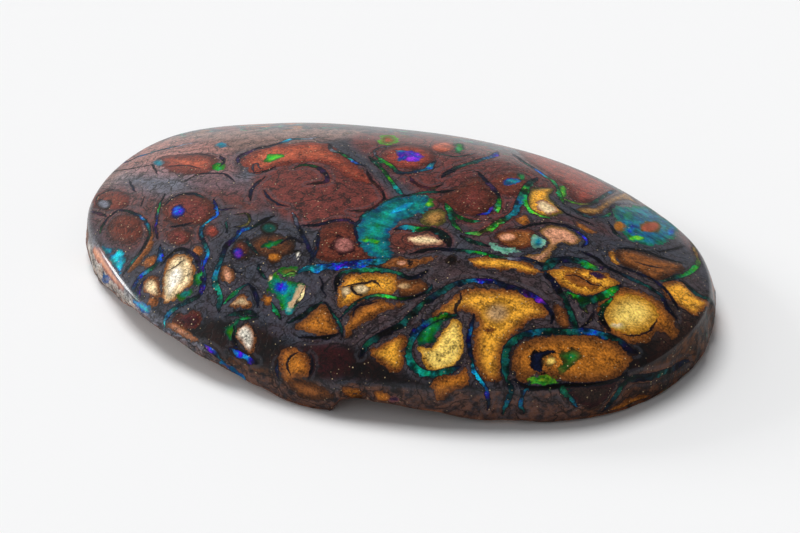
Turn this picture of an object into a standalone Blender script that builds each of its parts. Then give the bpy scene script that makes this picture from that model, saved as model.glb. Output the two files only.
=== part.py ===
"""A polished boulder opal: an oval, free-form cabochon of ironstone veined with precious opal.

One solid. The face is a low polished dome that ends in a crisp narrow bevel. Below it the
wall stays as the rock broke, thin on the left, thick at the right, with a foot at the front
and a hollow beside the foot. The underside is natural rock that swells down to a small flat
that was ground so that the stone lies still.

Metres, +Z up, +X along the stone's length, and the origin under the middle of the stone's
box, on the surface that it rests on.
"""

import math

import bmesh
import bpy
from mathutils import Vector, noise

MM = 0.001

# Girdle: the rim of the polished face, one station every 22.5 degrees, counted
# anticlockwise from +X when seen from above. Radii and heights in mm.
GIRDLE_RADII = (
    *(23.0, 22.4, 20.2, 18.5, 17.8, 18.3, 20.7, 23.6),
    *(23.4, 19.9, 17.2, 15.1, 14.6, 14.8, 16.9, 20.8),
)
GIRDLE_HEIGHTS = (
    *(3.9, 3.1, 2.8, 2.9, 2.9, 2.9, 2.9, 3.1),
    *(2.8, 2.9, 2.7, 2.9, 3.0, 3.3, 3.5, 3.4),
)

# The dome's top in mm, and the power that sets how late the dome falls away to the girdle.
APEX_HEIGHT = 7.6
DOME_POWER = 2.6

# The narrow ground bevel between the dome and the wall.
BEVEL_WIDTH = 0.28 * MM
BEVEL_DROP = 0.32 * MM

# Lower edge of the wall: (angle in degrees, height above what the stone rests on, how far
# it stands out from the girdle), both in mm. The foot is the low place near 268 degrees,
# the hollow beside it runs from 276 to 300, and the raised left side from 204 to 244.
LOWER_EDGE = (
    (0, 0.35, 0.05),
    (9, 0.65, 0.20),
    (22, 0.50, 0.30),
    (45, 0.70, 0.00),
    (70, 0.55, -0.25),
    (95, 0.40, -0.30),
    (120, 0.80, -0.20),
    (145, 0.95, -0.10),
    (165, 0.60, 0.00),
    (180, 0.30, 0.05),
    (194, 0.15, 0.05),
    (204, 1.00, -0.05),
    (213, 1.75, -0.05),
    (226, 1.80, -0.10),
    (236, 1.35, -0.10),
    (252, 0.65, -0.10),
    (261, 0.20, -0.10),
    (268, 0.10, -0.15),
    (273, 0.25, -0.10),
    (277, 1.30, -0.15),
    (286, 1.45, -0.15),
    (300, 1.05, -0.15),
    (316, 0.50, -0.15),
    (332, 0.25, -0.15),
    (344, 0.10, -0.10),
)

# Chips broken out of the wall: (angle in degrees, height, size across, depth), in mm.
CHIPS = (
    (355, 1.9, 3.4, 0.42),
    (343, 1.3, 2.6, 0.30),
    (6, 2.3, 2.8, 0.34),
    (318, 1.2, 2.2, 0.24),
    (281, 1.7, 2.4, 0.28),
    (246, 1.6, 1.9, 0.18),
    (28, 1.5, 3.0, 0.34),
    (66, 1.6, 3.6, 0.38),
    (103, 1.4, 2.8, 0.30),
    (133, 1.7, 3.2, 0.34),
    (168, 1.5, 2.4, 0.24),
)

# Underside: the flat that the stone rests on, as a share of the girdle's radius, how late
# the rock swells down to it, and its hollows: their depth, their size, how much of the rock
# they cover and how near the edge they start. The edge's breaks fade out inwards, and its
# low and high places spread over more of the rock.
REST_SHARE = 0.38
UNDERSIDE_POWER = 1.35
LUMP_HEIGHT = 0.75 * MM
LUMP_SIZE = 4.2 * MM
LUMP_COVER = 0.35
LUMP_START = 0.08
BREAK_FADE = 6
HOLLOW_SPREAD = math.radians(28)

# Roughness of the broken wall and of its lower edge.
WALL_ROUGHNESS = 0.13 * MM
WALL_GRAIN_SIZE = 1.7 * MM
WALL_BULGE = 0.16 * MM
EDGE_ROUNDING = 0.30 * MM
LOWEST_EDGE = 0.08 * MM

# Facets round the stone, and rings from the rest flat to the apex.
SEGMENTS = 120
UNDERSIDE_RINGS = 10
WALL_RINGS = 5
DOME_RINGS = 13
SHARPEST_SMOOTH_ANGLE = 35

IRONSTONE_COLOUR = (0.115, 0.062, 0.040, 1.0)
IRONSTONE_ROUGHNESS = 0.22


def clear_scene():
    """Removes the objects that Blender opens with."""
    for obj in list(bpy.data.objects):
        bpy.data.objects.remove(obj)


def around(stations, angle):
    """A smooth value at this angle from evenly spaced stations round the stone."""
    count = len(stations)
    place = angle / (2 * math.pi) * count
    station = math.floor(place)
    share = place - station
    before, first, second, after = (stations[(station + step) % count] for step in (-1, 0, 1, 2))
    return 0.5 * (
        2 * first
        + (second - before) * share
        + (2 * before - 5 * first + 4 * second - after) * share**2
        + (3 * first - before - 3 * second + after) * share**3
    )


def girdle_radius(angle):
    """Radius of the girdle at this angle, in metres."""
    return around(GIRDLE_RADII, angle) * MM


def girdle_height(angle):
    """Height of the girdle at this angle, in metres."""
    return around(GIRDLE_HEIGHTS, angle) * MM


def lower_edge(angle):
    """(height, stand-out) of the wall's lower edge at this angle, in metres."""
    degrees = math.degrees(angle) % 360
    ahead = next((i for i, row in enumerate(LOWER_EDGE) if row[0] > degrees), 0)
    start, end = LOWER_EDGE[ahead - 1], LOWER_EDGE[ahead]
    share = ((degrees - start[0]) % 360) / ((end[0] - start[0]) % 360)
    eased = share * share * (3 - 2 * share)
    height = start[1] + (end[1] - start[1]) * eased
    stand_out = start[2] + (end[2] - start[2]) * eased
    return height * MM, stand_out * MM


def rough(point, size, octaves=3):
    """Rock roughness, roughly from -1 to 1, the same at the same point in each run."""
    return noise.fractal(Vector(point) / size, 1.0, 2.0, octaves)


def on_plan(angle, radius, height):
    """A point at this angle and distance from the stone's axis."""
    return Vector((radius * math.cos(angle), radius * math.sin(angle), height))


def chip_depth(angle, height):
    """How deep the chips are broken into the wall at this angle and height."""
    depth = 0.0
    for degrees, middle, across, deep in CHIPS:
        turn = (angle - math.radians(degrees) + math.pi) % (2 * math.pi) - math.pi
        away = math.hypot(turn * girdle_radius(angle), height - middle * MM) / (across / 2 * MM)
        depth = max(depth, deep * MM * max(0.0, 1 - away * away))
    return depth


def dome_point(angle, share):
    """A point of the polished face, from 0 at the apex to 1 at the top of the bevel."""
    radius = (girdle_radius(angle) - BEVEL_WIDTH) * share
    fall = (APEX_HEIGHT * MM - girdle_height(angle)) * share**DOME_POWER
    return on_plan(angle, radius, APEX_HEIGHT * MM - fall)


def edge_point(angle, brokenness=1.0):
    """A point of the wall's lower edge, with its small breaks at this much of their size."""
    height, stand_out = lower_edge(angle)
    smooth = on_plan(angle, girdle_radius(angle) + stand_out, height)
    broken = rough(smooth, WALL_GRAIN_SIZE) * WALL_ROUGHNESS * brokenness
    chipped = chip_depth(angle, height) * brokenness
    radius = girdle_radius(angle) + stand_out + broken - chipped
    return on_plan(angle, radius, max(LOWEST_EDGE, height + broken))


def wall_point(angle, share):
    """A point of the broken wall, from 0 under the bevel to 1 at the lower edge."""
    top = on_plan(angle, girdle_radius(angle), girdle_height(angle) - BEVEL_DROP)
    point = top.lerp(edge_point(angle), share)
    swell = math.sin(math.pi * share)
    grain = rough(point, WALL_GRAIN_SIZE) * WALL_ROUGHNESS
    inside = chip_depth(angle, point.z) * (1 if 0 < share < 1 else 0)
    return point + on_plan(angle, (WALL_BULGE + grain) * swell - inside, 0.0)


def underside_point(angle, share):
    """A point of the natural underside, from 0 at the lower edge to 1 at the rest flat."""
    edge = edge_point(angle, (1 - share) ** BREAK_FADE)
    rest_radius = girdle_radius(angle) * REST_SHARE
    start = edge.xy.length - EDGE_ROUNDING
    radius = start + (rest_radius - start) * share
    turns = [HOLLOW_SPREAD * share * step / 4 for step in range(-4, 5)]
    levels = [lower_edge(angle + turn)[0] for turn in turns]
    level = edge.z + (sum(levels) / len(levels) - edge.z) * min(1.0, 3 * share)
    height = max(level - EDGE_ROUNDING, 0.0) * (1 - share) ** UNDERSIDE_POWER
    lump = max(rough(on_plan(angle, radius, 0.0), LUMP_SIZE, 2) + LUMP_COVER, 0.0)
    hollow = lump * LUMP_HEIGHT * math.sin(math.pi * min(1.0, share + LUMP_START))
    return on_plan(angle, radius, height + hollow)


def rings():
    """The stone's rings of points: the rest flat outwards, up the wall and in over the dome."""
    angles = [2 * math.pi * i / SEGMENTS for i in range(SEGMENTS)]
    shares = [step / UNDERSIDE_RINGS for step in range(UNDERSIDE_RINGS, -1, -1)]
    found = [[underside_point(angle, share) for angle in angles] for share in shares]
    shares = [step / WALL_RINGS for step in range(WALL_RINGS, -1, -1)]
    found += [[wall_point(angle, share) for angle in angles] for share in shares]
    shares = [math.sin(math.pi / 2 * step / DOME_RINGS) for step in range(DOME_RINGS, 0, -1)]
    found += [[dome_point(angle, share) for angle in angles] for share in shares]
    return found


def middle_of_box(points):
    """The middle of the points' box, seen from above."""
    spans = [sorted(point[axis] for point in points) for axis in (0, 1)]
    return Vector([(span[0] + span[-1]) / 2 for span in spans] + [0.0])


def grow_ring(bm, ring, points):
    """Extrudes a ring of the stone's skin to the next ring of points, and returns that ring."""
    edges = [bm.edges.get(pair) for pair in zip(ring, ring[1:] + ring[:1])]
    grown = bmesh.ops.extrude_edge_only(bm, edges=edges)["geom"]
    fresh = {item for item in grown if isinstance(item, bmesh.types.BMVert)}
    following = []
    for vert, point in zip(ring, points, strict=True):
        above = next(e.other_vert(vert) for e in vert.link_edges if e.other_vert(vert) in fresh)
        above.co = point
        following.append(above)
    return following


def close_dome(bm, ring, apex):
    """Fills the last ring and raises the middle of the fill to the apex."""
    cap = bmesh.ops.contextual_create(bm, geom=ring)["faces"]
    bmesh.ops.poke(bm, faces=cap)["verts"][0].co = apex


def ironstone():
    """Dark polished ironstone, the rock that carries the opal."""
    material = bpy.data.materials.new("polished_ironstone")
    material.use_nodes = True
    shader = material.node_tree.nodes["Principled BSDF"]
    shader.inputs["Base Color"].default_value = IRONSTONE_COLOUR
    shader.inputs["Roughness"].default_value = IRONSTONE_ROUGHNESS
    shader.inputs["Metallic"].default_value = 0.0
    return material


def build_stone():
    """The opal as one closed solid, grown ring by ring from its rest flat to its apex."""
    layers = rings()
    middle = middle_of_box([point for layer in layers for point in layer])
    layers = [[point - middle for point in layer] for layer in layers]
    bm = bmesh.new()
    ring = bmesh.ops.create_circle(bm, cap_ends=True, segments=SEGMENTS, radius=1.0)["verts"]
    for vert, point in zip(ring, layers[0], strict=True):
        vert.co = point
    for layer in layers[1:]:
        ring = grow_ring(bm, ring, layer)
    close_dome(bm, ring, Vector((0.0, 0.0, APEX_HEIGHT * MM)) - middle)
    bmesh.ops.triangulate(bm, faces=bm.faces[:])
    bmesh.ops.recalc_face_normals(bm, faces=bm.faces[:])
    mesh = bpy.data.meshes.new("opal")
    bm.to_mesh(mesh)
    bm.free()
    mesh.shade_smooth()
    mesh.set_sharp_from_angle(angle=math.radians(SHARPEST_SMOOTH_ANGLE))
    mesh.materials.append(ironstone())
    bpy.context.scene.collection.objects.link(bpy.data.objects.new("opal", mesh))


clear_scene()
build_stone()
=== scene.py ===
"""Looks of a polished boulder opal: its fine shape, its whole pattern and a plain studio.

The stone is one rock. Its polished face shows nodules of brick-red and honey-coloured
sandstone in dark ironstone, and seams of precious opal run round them. The pattern is kept as
named nodules, patches, washes and seams. Each is a line or an outline over the stone's face,
and is laid onto the stone as distances in millimetres, so that every edge stays sharp. Some of
the colour is painted light. Washes and a patch at the left end paint the edge light's glint and a
reflection. The back rim's tan wash is partly a painted sheen. The nodules' rims carry painted
shade, and the pale grains are partly painted glints.

Metres, +Z up, in the frame's own place. Places on the pattern are pixels of the 800 x 533
view, cast through the camera onto the stone. Widths and depths are real sizes.
"""

from __future__ import annotations

import logging
import math
from collections.abc import Callable, Iterable, Sequence
from dataclasses import dataclass
from enum import Enum

import bmesh
import bpy
import numpy as np
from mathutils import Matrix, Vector, noise
from mathutils.bvhtree import BVHTree

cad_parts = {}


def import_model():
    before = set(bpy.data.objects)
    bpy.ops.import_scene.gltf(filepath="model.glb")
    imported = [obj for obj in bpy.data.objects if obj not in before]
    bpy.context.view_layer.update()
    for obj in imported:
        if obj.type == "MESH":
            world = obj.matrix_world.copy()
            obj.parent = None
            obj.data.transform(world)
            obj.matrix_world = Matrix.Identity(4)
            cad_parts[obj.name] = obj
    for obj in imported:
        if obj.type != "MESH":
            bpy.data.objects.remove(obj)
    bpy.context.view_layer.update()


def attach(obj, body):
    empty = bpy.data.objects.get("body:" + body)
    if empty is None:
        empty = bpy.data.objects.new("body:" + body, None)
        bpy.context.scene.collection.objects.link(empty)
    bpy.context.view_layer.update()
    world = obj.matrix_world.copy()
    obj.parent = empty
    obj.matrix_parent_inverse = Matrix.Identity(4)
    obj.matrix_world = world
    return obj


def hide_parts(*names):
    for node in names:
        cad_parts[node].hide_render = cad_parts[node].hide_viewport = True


LOG = logging.getLogger("opal")
MM = 0.001
VIEW_WIDTH = 800
VIEW_HEIGHT = 533

# Where the stone's axis, which its angles and radii are counted from, stands in the frame.
STONE_AXIS = Vector((0.00033, -0.00159, 0.0))

Pixel = tuple[float, float]
Value = float | np.ndarray


def linear(channel: float) -> float:
    """The linear strength of one channel of a tone that is given from 0 to 255."""
    share = channel / 255
    return share / 12.92 if share <= 0.04045 else ((share + 0.055) / 1.055) ** 2.4


class Tone(Enum):
    """The colours of the rock and of the opal's fire, as they are without any reflection. A few
    washes and one patch use them for painted highlights, a painted reflection and a painted sheen.
    """

    SOOT = (9, 6, 7)
    IRON = (52, 54, 64)
    COFFEE = (44, 28, 22)
    UMBER = (84, 46, 22)
    CHESTNUT = (134, 78, 34)
    WINE = (58, 14, 20)
    RUSSET = (96, 42, 28)
    MAROON = (102, 44, 38)
    BRICK = (136, 54, 38)
    EMBER = (166, 78, 50)
    RUST = (150, 84, 34)
    AMBER = (176, 106, 32)
    OCHRE = (150, 108, 52)
    HONEY = (230, 162, 50)
    DRAB = (180, 142, 98)
    STRAW = (252, 214, 108)
    CREAM = (236, 208, 160)
    CHALK = (250, 242, 224)
    ROSE = (168, 104, 96)
    SALMON = (214, 150, 116)
    TAN = (140, 104, 90)
    SLATE = (110, 112, 124)
    MINT = (150, 214, 196)
    OLIVE = (96, 92, 34)
    NAVY = (12, 20, 46)
    PLUM = (46, 24, 62)
    VIOLET = (104, 36, 206)
    ROYAL = (22, 50, 196)
    BLUE = (14, 96, 190)
    CYAN = (18, 188, 212)
    LAGOON = (12, 112, 136)
    TEAL = (6, 138, 120)
    SEA = (12, 76, 66)
    GREEN = (20, 140, 52)
    LIME = (92, 196, 44)

    @property
    def colour(self) -> np.ndarray:
        """The tone as a linear colour."""
        return np.array([linear(channel) for channel in self.value])

    def shade(self, strength: float = 1.0) -> tuple[float, ...]:
        """The tone as a socket's colour, made darker by a number below 1."""
        return (*(self.colour * strength), 1.0)


@dataclass(frozen=True)
class Wash:
    """A soft-edged wash over the ironstone: its outline, and how far it fades, in mm. Most are
    stains. Those on the left wall paint a reflection and a highlight, and the back rim's is partly a
    painted sheen.
    """

    name: str
    tone: Tone
    outline: tuple[Pixel, ...]
    fade: float = 0.7
    strength: float = 1.0


@dataclass(frozen=True)
class Region:
    """A nodule or patch with a clear edge, its tone at the edge and how deep that reaches. A darker
    edge tone is partly the rock's own rind and partly painted shade that makes a nodule look raised.
    """

    name: str
    tone: Tone
    outline: tuple[Pixel, ...]
    rim: Tone | None = None
    rim_depth: float = 0.5
    fire: float = 0.0


@dataclass(frozen=True)
class Seam:
    """A seam or crack: the line it follows, its tones along that line and its width in mm."""

    name: str
    tones: tuple[Tone, ...]
    line: tuple[Pixel, ...]
    width: float = 0.3
    closed: bool = False


SPOT_POINTS = 12
SPOT_RIM = 0.04


def spot(
    name: str,
    tone: Tone,
    middle: Pixel,
    across: float,
    high: float,
    rim: Tone | None = None,
    fire: float = 0.0,
    turn: float = 0.0,
) -> Region:
    """A small rounded region.

    Args:
        name: What the region is.
        tone: Its tone.
        middle: The pixel at its middle.
        across: Half its width in the view, in pixels.
        high: Half its height in the view, in pixels.
        rim: Its tone at the edge, if another.
        fire: How much it shines like opal, from 0 to 1.
        turn: How far it is turned clockwise, in degrees.

    Returns:
        The region, with a rim that is deeper on a larger spot.
    """
    slant = math.radians(turn)
    points = []
    for step in range(SPOT_POINTS):
        angle = 2 * math.pi * step / SPOT_POINTS
        x, y = across * math.cos(angle), high * math.sin(angle)
        points.append(
            (
                middle[0] + x * math.cos(slant) - y * math.sin(slant),
                middle[1] + x * math.sin(slant) + y * math.cos(slant),
            )
        )
    return Region(name, tone, tuple(points), rim, min(across, high) * SPOT_RIM, fire)


# The tables below use this short name for the tones.
T = Tone

WASHES = (
    # Partly painted sheen: the tan wash over the far rim is the rim's own tone, and it also paints
    # the pale haze that the polish shows there.
    Wash("tan back rim and painted sheen", T.TAN, ((95, 180), (130, 146), (180, 128), (260, 118), (340, 118),
        (440, 126), (440, 134), (330, 140), (250, 150), (150, 170), (108, 190)), 0.9, 0.7),
    Wash("grey left", T.SLATE, ((100, 192), (140, 165), (200, 172), (262, 176), (250, 190),
        (200, 195), (150, 206), (108, 218)), 0.9, 0.5),
    Wash("rosy back left", T.ROSE, ((118, 164), (160, 142), (205, 140), (232, 152),
        (236, 172), (214, 178), (160, 176), (130, 172)), 0.8, 0.45),
    Wash("rosy left", T.RUSSET, ((94, 196), (118, 184), (146, 192), (166, 196), (200, 190),
        (244, 196), (262, 208), (240, 214), (215, 200), (214, 232), (190, 246), (160, 240),
        (126, 250), (96, 226)), 0.8, 0.75),
    Wash("grey-pink left", T.MAROON, ((186, 180), (225, 176), (256, 186), (262, 204),
        (222, 200), (196, 190)), 0.8, 0.5),
    Wash("maroon middle", T.MAROON, ((252, 180), (275, 168), (300, 160), (345, 160), (372, 176),
        (390, 196), (380, 210), (356, 222), (330, 230), (296, 222), (268, 206)), 0.5, 1.0),
    Wash("maroon back right", T.MAROON, ((352, 136), (420, 130), (480, 138), (540, 152),
        (600, 176), (630, 192), (612, 200), (580, 204), (560, 196), (536, 190), (520, 214),
        (496, 232), (468, 226), (440, 216), (420, 196), (396, 178), (372, 160)), 0.6, 0.9),
    Wash("brick far right", T.MAROON, ((612, 182), (650, 200), (684, 226), (700, 256),
        (690, 250), (668, 222), (640, 202)), 0.5, 0.7),
    Wash("umber around honey", T.UMBER, ((330, 268), (420, 252), (470, 262), (540, 272),
        (620, 262), (690, 270), (706, 300), (690, 336), (630, 384), (520, 386), (440, 382),
        (400, 372), (352, 350), (336, 330)), 0.8, 0.28),
    Wash("brown nest right", T.RUSSET, ((470, 222), (520, 222), (560, 214), (600, 222),
        (612, 236), (560, 226), (530, 246), (490, 250), (470, 240)), 0.6, 0.4),
    Wash("brown nest middle", T.RUSSET, ((392, 226), (440, 226), (452, 244), (420, 252),
        (392, 250)), 0.5, 0.9),
    Wash("black lower left", T.SOOT, ((186, 330), (220, 318), (262, 326), (288, 344),
        (330, 344), (352, 346), (380, 360), (410, 376), (470, 384), (470, 390), (400, 386),
        (330, 380), (300, 384), (240, 366), (200, 350)), 0.5, 1.0),
    Wash("deep red flecks", T.WINE, ((302, 344), (340, 344), (352, 362), (338, 376), (306, 372)),
        0.8, 0.5),
    Wash("black lower right", T.SOOT, ((632, 344), (672, 330), (700, 316), (714, 312),
        (712, 340), (690, 362), (640, 372), (612, 384), (620, 370)), 0.6, 1.0),
    Wash("dark right corner", T.COFFEE, ((668, 300), (716, 304), (716, 350), (660, 352)),
        0.8, 0.8),
    Wash("dark wall right", T.SOOT, ((596, 396), (660, 374), (700, 330), (714, 304), (716, 345),
        (690, 384), (640, 410), (588, 418)), 0.6, 0.6),
    # Painted reflection and highlight: the grey wash paints the bluish reflection on the left wall,
    # and the pale one paints the edge light's glint along the bevel.
    Wash("painted reflection on the left wall", T.SLATE, ((88, 240), (98, 252), (114, 276), (140, 304), (172, 330),
        (204, 346), (216, 362), (190, 354), (150, 324), (108, 296), (88, 266)), 0.5, 0.9),
    Wash("painted glint on the left wall", T.CHALK, ((88, 244), (98, 258), (114, 282), (136, 304), (130, 308),
        (108, 292), (90, 266)), 0.4, 0.5),
)

NODULES = (
    Region("ember band", T.EMBER, ((240, 163), (249, 153), (263, 147), (287, 144), (311, 142),
        (330, 145), (346, 158), (362, 170), (374, 184), (362, 182), (345, 176), (330, 165),
        (312, 162), (296, 163), (279, 167), (255, 174), (246, 168)), T.BRICK, 0.9),
    Region("brick lens", T.EMBER, ((160, 157), (182, 154), (201, 153), (215, 156), (219, 163),
        (212, 171), (201, 174), (182, 174), (169, 171), (160, 166)), T.MAROON, 1.1),
    spot("brick disc", T.RUSSET, (126, 229), 17, 14, T.RUSSET),
    spot("violet-hearted nodule", T.MAROON, (188, 210), 26, 15, T.RUSSET),
    spot("lower brick nodule", T.MAROON, (178, 237), 12, 8, T.RUSSET),
    spot("small brick nodule", T.BRICK, (212, 231), 7, 6, T.MAROON),
    spot("left edge nodule", T.RUSSET, (110, 200), 20, 10, T.MAROON),
    Region("brown tail", T.RUST, ((150, 232), (154, 240), (148, 252), (138, 264), (128, 272),
        (132, 262), (142, 250), (148, 240)), T.CHESTNUT, 0.3),
    Region("great cream nodule", T.CREAM, ((164, 277), (168, 262), (176, 255), (185, 254),
        (192, 260), (195, 271), (192, 283), (185, 290), (177, 298), (169, 303), (163, 302),
        (163, 288)), T.AMBER, 0.35),
    Region("small cream nodule", T.CREAM, ((143, 286), (148, 279), (155, 278), (159, 286),
        (159, 296), (151, 296), (145, 292)), T.RUST, 0.3),
    spot("crumb under it", T.RUST, (153, 302), 6, 5, T.CHESTNUT),
    spot("amber crumb left", T.RUST, (150, 262), 8, 5, T.CHESTNUT, turn=-30),
    spot("rust crumb middle", T.RUST, (197, 251), 6, 5, T.CHESTNUT),
    Region("wine nodule", T.WINE, ((175, 318), (188, 312), (199, 312), (202, 320), (197, 329),
        (190, 330), (180, 325), (173, 322)), T.RUSSET, 0.3),
    Region("salmon strip", T.SALMON, ((168, 324), (176, 323), (184, 328), (192, 334),
        (199, 340), (194, 342), (185, 338), (174, 331)), T.RUST, 0.3),
    Region("little brown nodule", T.SALMON, ((222, 268), (229, 266), (234, 275), (230, 284),
        (223, 280)), T.CHESTNUT, 0.3),
    Region("three-cornered nodule", T.CREAM, ((227, 306), (236, 298), (244, 295), (251, 303),
        (248, 307), (238, 307)), T.RUST, 0.4),
    Region("chalky nodule", T.CHALK, ((235, 336), (239, 327), (247, 324), (254, 331),
        (255, 342), (251, 352), (244, 349), (240, 342)), T.RUST, 0.35),
    Region("amber ring nodule", T.AMBER, ((281, 352), (295, 348), (304, 354), (310, 366),
        (308, 376), (295, 379), (287, 384), (282, 374), (280, 361)), T.RUST, 0.5),
    Region("amber wedge", T.AMBER, ((296, 327), (309, 315), (321, 305), (326, 306), (330, 315),
        (338, 329), (337, 334), (324, 336), (309, 334)), T.CHESTNUT, 0.5),
    spot("olive nest", T.UMBER, (272, 246), 24, 13, T.COFFEE),
    spot("violet's nest", T.RUSSET, (241, 250), 9, 10, T.COFFEE),
    Region("honey nodule", T.HONEY, ((337, 299), (338, 289), (345, 278), (357, 274), (376, 273),
        (394, 275), (399, 285), (396, 293), (389, 296), (376, 295), (364, 297), (353, 304),
        (341, 307)), T.AMBER, 0.6),
    Region("brown neighbour", T.CHESTNUT, ((395, 280), (408, 278), (424, 281), (428, 288),
        (418, 294), (402, 296), (397, 291)), T.UMBER, 0.5),
    Region("amber shelf", T.AMBER, ((354, 313), (364, 304), (380, 300), (392, 302), (404, 304),
        (392, 309), (380, 314), (367, 321), (354, 330), (346, 336), (343, 327)), T.CHESTNUT, 0.5),
    Region("honey wedge", T.HONEY, ((370, 353), (380, 346), (389, 340), (399, 336), (406, 340),
        (403, 348), (404, 360), (402, 368), (394, 371), (383, 364)), T.RUST, 0.5),
    Region("heart", T.STRAW, ((419, 348), (432, 347), (439, 336), (447, 326), (452, 320),
        (458, 321), (462, 330), (464, 344), (461, 358), (453, 367), (440, 371), (431, 370),
        (424, 361)), T.HONEY, 0.35),
    Region("under the heart", T.AMBER, ((431, 384), (443, 376), (458, 373), (466, 368),
        (470, 378), (466, 386), (453, 391), (443, 397), (437, 400), (433, 392)), T.RUST, 0.4),
    Region("great honey field", T.HONEY, ((434, 315), (440, 307), (450, 299), (459, 293),
        (475, 288), (499, 289), (523, 292), (536, 300), (548, 311), (546, 317), (531, 321),
        (520, 329), (510, 339), (503, 352), (502, 368), (499, 379), (490, 381), (483, 377),
        (477, 367), (474, 352), (474, 336), (478, 323), (475, 316), (466, 311), (459, 311),
        (456, 316), (446, 317)), T.RUST, 0.7),
    Region("honey bar", T.HONEY, ((468, 260), (480, 257), (499, 257), (517, 260), (533, 266),
        (542, 272), (531, 274), (512, 270), (491, 269), (475, 266)), T.RUST, 0.4),
    Region("rust scrap", T.RUST, ((383, 264), (396, 257), (412, 259), (428, 257), (437, 255),
        (434, 261), (421, 264), (411, 269), (399, 267), (386, 268)), T.CHESTNUT, 0.4),
    Region("brick frame", T.RUSSET, ((320, 229), (336, 223), (350, 225), (360, 235), (370, 256),
        (360, 260), (320, 260), (318, 245)), T.RUSSET, 0.6),
    Region("cream bar", T.CREAM, ((406, 238), (418, 235), (432, 236), (443, 240), (439, 244),
        (424, 245), (411, 243)), T.SALMON, 0.3),
    Region("speckled scrap", T.OCHRE, ((421, 220), (427, 212), (440, 209), (447, 215),
        (444, 223), (434, 227), (426, 225)), T.OLIVE, 0.4),
    Region("plum nodule", T.MAROON, ((439, 199), (452, 190), (467, 181), (480, 178), (490, 187),
        (495, 199), (488, 212), (475, 216), (459, 212), (448, 206)), T.RUSSET, 1.2),
    spot("brick nodule top", T.BRICK, (407, 157), 27, 12, T.MAROON),
    spot("ember bit top", T.EMBER, (443, 147), 12, 5, T.BRICK),
    spot("brown nest of the teal spot", T.RUSSET, (509, 183), 22, 13, T.MAROON),
    spot("amber bit", T.AMBER, (523, 220), 6, 5, T.RUST),
    Region("brick shoulder", T.BRICK, ((516, 150), (535, 152), (556, 161), (588, 174),
        (612, 187), (617, 191), (602, 199), (589, 203), (577, 202), (570, 196), (567, 188),
        (557, 181), (541, 170), (526, 160)), T.MAROON, 0.8),
    Region("hooked nodule", T.HONEY, ((528, 198), (530, 190), (540, 188), (553, 189),
        (550, 199), (564, 211), (556, 215), (547, 216), (537, 214), (529, 208)), T.OLIVE, 0.35),
    Region("ochre ribbon", T.OCHRE, ((576, 209), (586, 214), (599, 214), (608, 208), (617, 202),
        (628, 200), (638, 204), (626, 193), (615, 195), (605, 200), (596, 207), (586, 207)),
        T.UMBER, 0.25),
    Region("brown lens", T.CHESTNUT, ((616, 253), (625, 249), (643, 253), (659, 258),
        (680, 263), (684, 268), (669, 277), (653, 280), (637, 270), (621, 263)), T.UMBER, 0.5),
    Region("yellow crescent", T.HONEY, ((610, 254), (613, 248), (615, 257), (620, 265),
        (615, 264), (610, 259)), T.AMBER, 0.2),
    Region("salmon nodule", T.SALMON, ((540, 233), (546, 227), (564, 228), (575, 234),
        (580, 239), (575, 245), (564, 243), (556, 246), (550, 256), (543, 262), (529, 261),
        (525, 256), (540, 253), (549, 245), (547, 239)), T.OCHRE, 0.3),
    Region("brown flank", T.CHESTNUT, ((496, 235), (508, 230), (524, 229), (535, 233),
        (533, 245), (520, 249), (505, 246)), T.RUSSET, 0.4),
    Region("amber streak", T.AMBER, ((575, 221), (586, 226), (597, 233), (589, 233), (579, 228)),
        T.CHESTNUT, 0.3),
    Region("right honey patch", T.HONEY, ((661, 286), (669, 282), (680, 281), (690, 288),
        (699, 297), (709, 304), (703, 311), (697, 316), (688, 312), (677, 305), (670, 299)),
        T.RUST, 0.5),
    Region("egg's bed", T.AMBER, ((599, 300), (612, 291), (625, 288), (650, 295), (668, 311),
        (678, 333), (672, 338), (657, 330), (650, 339), (632, 343), (615, 337), (600, 324)),
        T.CHESTNUT, 0.6),
    Region("honey eye", T.HONEY, ((547, 273), (556, 268), (569, 268), (580, 269), (590, 268),
        (602, 272), (612, 277), (620, 283), (612, 290), (602, 293), (589, 296), (575, 293),
        (563, 286)), T.AMBER, 0.5),
    Region("brown splinter", T.CHESTNUT, ((556, 303), (565, 309), (571, 326), (561, 327),
        (554, 315)), T.UMBER, 0.3),
    Region("great amber lens", T.AMBER, ((512, 358), (516, 348), (524, 342), (540, 337),
        (564, 335), (588, 335), (605, 339), (618, 345), (628, 355), (631, 363), (624, 372),
        (612, 379), (596, 382), (577, 382), (561, 380), (548, 376), (532, 376), (524, 383),
        (517, 377), (512, 367)), T.CHESTNUT, 0.7),
    Region("amber foot strip", T.AMBER, ((603, 416), (615, 406), (626, 400), (639, 396),
        (650, 396), (640, 402), (627, 407), (615, 413)), T.RUST, 0.2),
    Region("wine panel", T.COFFEE, ((560, 384), (596, 384), (615, 383), (603, 401), (589, 407),
        (576, 403)), T.WINE, 0.4),
    Region("foot rust", T.RUST, ((679, 373), (690, 367), (688, 375), (678, 380)), T.CHESTNUT, 0.2),
    Region("wall amber", T.AMBER, ((343, 388), (357, 388), (363, 396), (352, 398), (345, 394)),
        T.RUST, 0.3),
    Region("second wall amber", T.AMBER, ((374, 391), (387, 392), (391, 400), (378, 402)),
        T.RUST, 0.3),
    Region("wall rust", T.CHESTNUT, ((284, 380), (300, 380), (322, 386), (334, 396), (316, 400),
        (300, 396)), T.UMBER, 0.5),
)

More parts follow.
